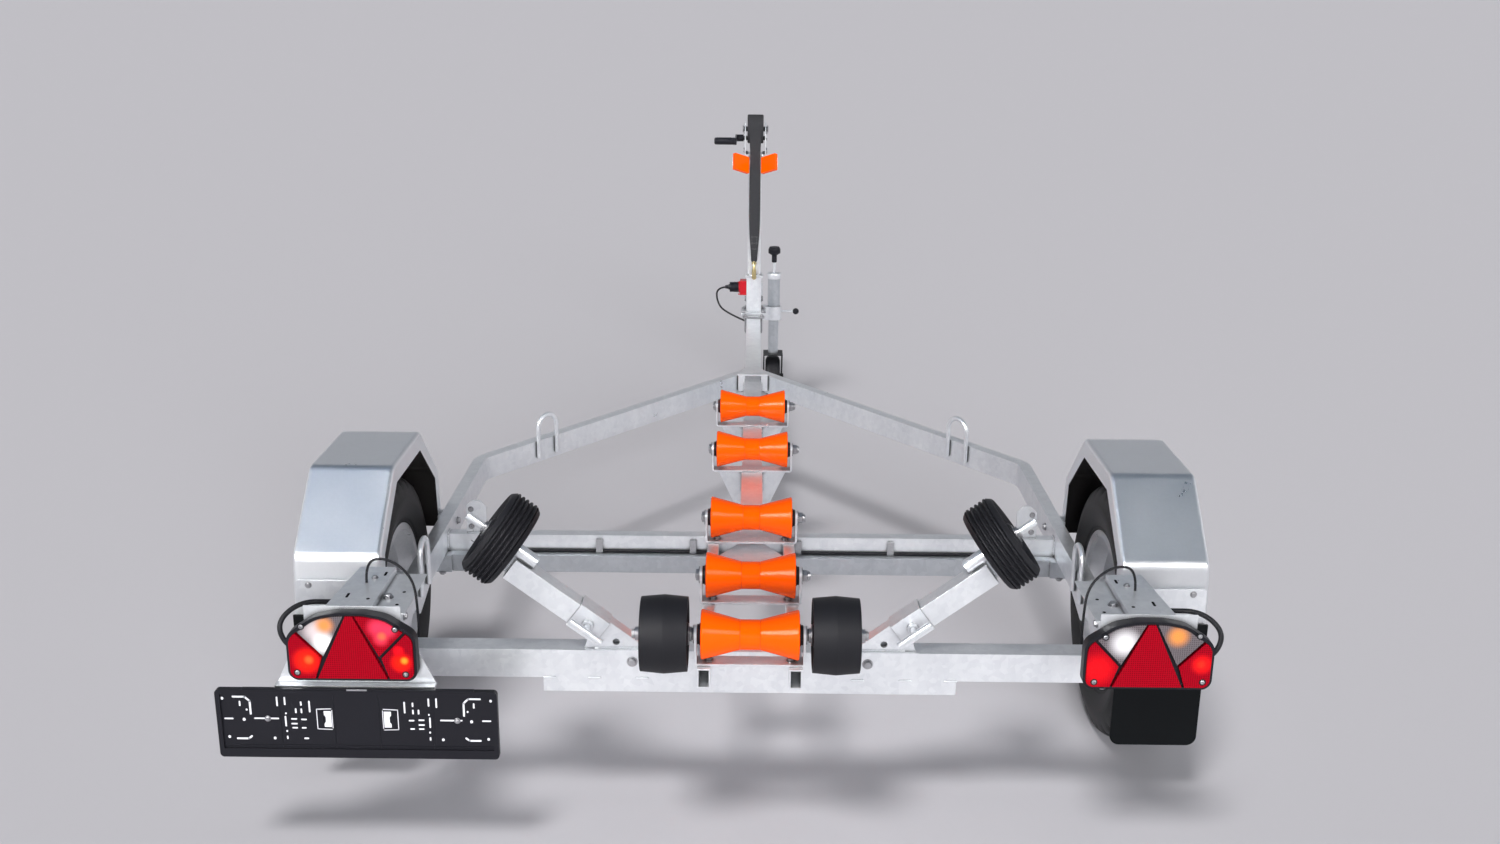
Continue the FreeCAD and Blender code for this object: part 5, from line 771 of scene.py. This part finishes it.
moulding.done("holder_ribs", plastic, "frame", "black_plastic")
plate_screws = Heap()
bolt(plate_screws, (HOLDER_X - 168.5, -544.3, 282.5), REAR, 4.6)
bolt(plate_screws, (HOLDER_X + 187, -544.3, 282), REAR, 4.6)
plate_screws.slab([(-16, 70.2), (22, 70.2), (22, 73.4), (-16, 73.4)], 3.7, 4.4, face)
plate_screws.done("holder_screws", bolts, "frame", "zinc_bolts")


# Winch and strap: woven webbing that leaves the roll flat, is gathered toward the hook
# and sewn to it; the roll shows its turns, and the crank has a steel collar and a grip.
webbing = moulded("webbing", (0.038, 0.038, 0.041), 0.85, grain=700.0, shine=0.15)
t = webbing.node_tree
skin = t.nodes["Principled BSDF"]
twill = wire(t, "ShaderNodeTexWave", {"Scale": 210.0}, bands_direction="DIAGONAL")
weave = wire(t, "ShaderNodeTexCoord")
rough = wire(t, "ShaderNodeBump", {"Strength": 0.5, "Distance": 0.0006})
yarn = wire(t, "ShaderNodeMix", data_type="RGBA")
yarn.inputs["A"].default_value = (0.022, 0.022, 0.025, 1.0)
yarn.inputs["B"].default_value = (0.045, 0.045, 0.048, 1.0)
join(t, (weave.outputs["Object"], twill.inputs["Vector"]), (twill.outputs["Fac"], rough.inputs["Height"]),
     (twill.outputs["Fac"], yarn.inputs["Factor"]), (rough.outputs["Normal"], skin.inputs["Normal"]),
     (yarn.outputs["Result"], skin.inputs["Base Color"]))
# Height, half width and curl of the strap's edges, from the roll down to the hook.
LEVELS = ((1089.5, 21, 0.0), (1040, 20.9, 0.0), (1000, 19.0, 0.7), (975, 18.2, 0.9), (950, 19.5, 0.5),
          (920, 20.6, 0.1), (860, 20.9, 0.0), (800, 20.9, 0.0), (760, 20.6, 0.3), (725, 19.8, 0.8),
          (700, 18.6, 1.4), (680, 17.2, 1.9), (660, 15.6, 2.2), (645, 14.4, 2.0), (630, 13.2, 1.2),
          (618, 12.4, 0.6), (606, 11.8, 0.3), (600, 11.2, 0.2), (597, 10.2, 0.0))
STRAP_REAR, STRAP_MIDDLE, STRAP_THICK = 2490.1, 2491.2, 2.2
EYE_TOP, EYE_RISE, EYE_SWELL = 655, 20.0, 5.4
shares = [k / 5.0 - 1 for k in range(11)]
rings = []
for z, half, curl in LEVELS:
    swell = min(max((EYE_TOP - z) / EYE_RISE, 0.0), 1.0) * EYE_SWELL
    outside = [(half * u, STRAP_REAR + curl * (u * u - 0.5) * 2 - swell * (1 - u ** 4), z) for u in shares]
    inside = [(x, 2 * STRAP_MIDDLE - y if swell else y + STRAP_THICK, z) for x, y, z in reversed(outside)]
    rings.append(outside + inside)
strap = Heap()
strap.loft(rings)
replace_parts(strap.done("webbing_strap", webbing, "frame", "black_webbing", 40), "winch_strap")
thread = Heap()
for z, out in ((692, 2488.3), (668, 2488.3), (646, 2484.0)):
    for k in range(-3, 4):
        thread.slab([(-1.3, -0.45), (1.3, -0.45), (1.3, 0.45), (-1.3, 0.45)], 0.0, 0.6,
                    facing((k * 3.6, out + abs(k) * 0.45, z), REAR))
for k in range(5):
    for x in (-9.5, 9.5):
        thread.slab([(-0.45, -1.5), (0.45, -1.5), (0.45, 1.5), (-0.45, 1.5)], 0.0, 0.6,
                    facing((x, 2489.3, 664 + k * 6.4), REAR))
thread.done("strap_stitches", moulded("grey_thread", (0.2, 0.2, 0.2), 0.8), "frame", "black_webbing")
DRUM_UP = 1090
roll = Heap()
spiral = [(0, -48), (9, -48), (9, -30)]
spiral += [(10 + k * 1.3, -30 + (0.55 if k % 2 else 0.0)) for k in range(30)] + [(49, -30), (52.2, -28.6), (53, -26)]
spiral += [(radius, -height) for radius, height in reversed(spiral)]
roll.lathe(spiral, 72, facing((0, POST_Y, DRUM_UP), RIGHT))
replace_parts(roll.done("wound_strap", webbing, "winch_drum", "black_webbing", 30), "winch_drum")
drum = Heap()
winch = Heap()
for sign in (1.0, -1.0):
    where = facing((0, POST_Y, DRUM_UP), (sign, 0, 0))
    drum.lathe([(9.1, 44.2), (15, 44.2), (15, 45.6), (9.1, 45.6)], 24, where)
    drum.lathe([(9.1, 45.7), (14, 45.7), (14, 47.9), (9.1, 47.9)], 6, where)
    for along, z in ((-38, 1008), (52, 1010), (-40, 1080), (70, 1045)):
        bolt(winch, (40.2 * sign, POST_Y + along, z), (sign, 0, 0), 5)
drum.done("drum_nuts", bolts, "winch_drum", "zinc_bolts")
winch.done("winch_plate_bolts", bolts, "frame", "zinc_bolts")
CRANK_Y, CRANK_UP, GRIP_PITCH = 2487, 1050, 7
collar = Heap()
collar.lathe([(12.1, 0), (14.2, 0), (14.2, 9), (12.1, 10)], 24, facing((-77, CRANK_Y, CRANK_UP), LEFT))
collar.done("crank_collar", bolts, "winch_crank", "zinc_bolts")
outline = [(12.05, 12)]
for low in range(0, 8 * GRIP_PITCH, GRIP_PITCH):
    outline += [(13.6, 14 + low), (13.8, 16.5 + low), (13.0, 19.4 + low)]
outline += [(13.2, 72), (11.5, 75.5), (8, 77), (0, 77), (0, 74.2), (12.05, 74.1)]
sheath = Heap()
sheath.lathe(outline, 28, facing((-76, CRANK_Y, CRANK_UP), LEFT))
sheath.done("crank_grip_sheath", plastic, "winch_crank", "black_plastic")


# Hook and jockey wheel fittings: the hook's forged eye and spring latch, the jack's
# screwed cap, the tube over its spindle and the black ball on the clamp's lever.
hook = Heap()
hook.lathe([(5.1, 0), (8.2, 0), (9.0, 2.5), (9.0, 7.5), (7.4, 10), (5.1, 10)], 28, facing((0, 2491.25, 586), UP))
hook.slab([(-8.6, -26), (-4, -29), (4, -29), (8.6, -26), (7.6, 8), (5.4, 12), (-5.4, 12), (-7.6, 8)], 0.0, 1.6,
          facing((0, 2476.2, 560), REAR))
hook.done("hook_latch", nodes["snap_hook"].data.materials[0], "frame", "yellow_zinc")
JACK_X, JACK_Y = 80, 2716
cap = Heap()
cap.lathe([(24.1, 488), (25.6, 488), (26.2, 489.5), (26.2, 508.5), (24.6, 510.8), (10, 511.6), (8.4, 514),
           (6, 515.2), (4.2, 515.2), (4.2, 510.15), (24.1, 510.1)], 48, facing((JACK_X, JACK_Y, 0), UP))
cap.lathe([(4.1, 515.2), (5.6, 515.2), (5.6, 552.8), (4.1, 552.8)], 24, facing((JACK_X, JACK_Y, 0), UP))
cap.done("jack_cap", steel, "frame", "galvanised_steel")
BALL = 12.5
ball = Heap()
ball.lathe([(0, -BALL)] + [(BALL * math.cos(a), BALL * math.sin(a)) for a in map(math.radians, range(-80, 81, 10))]
           + [(0, BALL)], 32, facing((169, JACK_Y, 355.4), RIGHT))
ball.done("clamp_lever_ball", plastic, "frame", "black_plastic")


# Consoles and rollers: punched holes and slots in the lamp consoles, drawn as thin near-black
# patches of painted shade, and the fine mould lines where each keel roller's cones meet its waist.
CONSOLE_TOP, PUNCH_DEEP = 502, 0.15
punched = Heap()
for sign in (1.0, -1.0):
    for x, y, z in ((716, -485, CONSOLE_TOP), (664, -479, 488), (664, -420, 488)):
        punched.lathe([(0, PUNCH_DEEP), (3.4, PUNCH_DEEP), (3.4, 2 * PUNCH_DEEP), (0, 2 * PUNCH_DEEP)], 20,
                      facing((x * sign, y, z), UP))
    for x, low, high in ((758, -478, -462), (712, -372, -358)):
        stroke(punched, [(x * sign, low), (x * sign, high)], 5.0, PUNCH_DEEP, facing((0, 0, CONSOLE_TOP), UP),
               PUNCH_DEEP)
hole_shadow = moulded("hole_shadow", (0.01, 0.01, 0.012), 0.9, shine=0.05)
punched.done("console_holes", hole_shadow, "frame", "galvanised_steel")
mould_line = moulded("orange_mould_line", (0.75, 0.05, 0.0), 0.4, grain=300.0, shine=0.15)
for index, y in enumerate(ROLLER_ROWS):
    seam = Heap()
    for sign in (1.0, -1.0):
        seam.lathe([(28.3, 18.2), (28.85, 18.4), (28.95, 19.1), (28.9, 19.6), (28.4, 19.8)], 48,
                   facing((0, y, ROLLER_UP), (sign, 0, 0)))
    seam.done("roller_mould_lines_%d" % (index + 1), mould_line, "keel_roller_%d" % (index + 1),
              "orange_polyurethane")
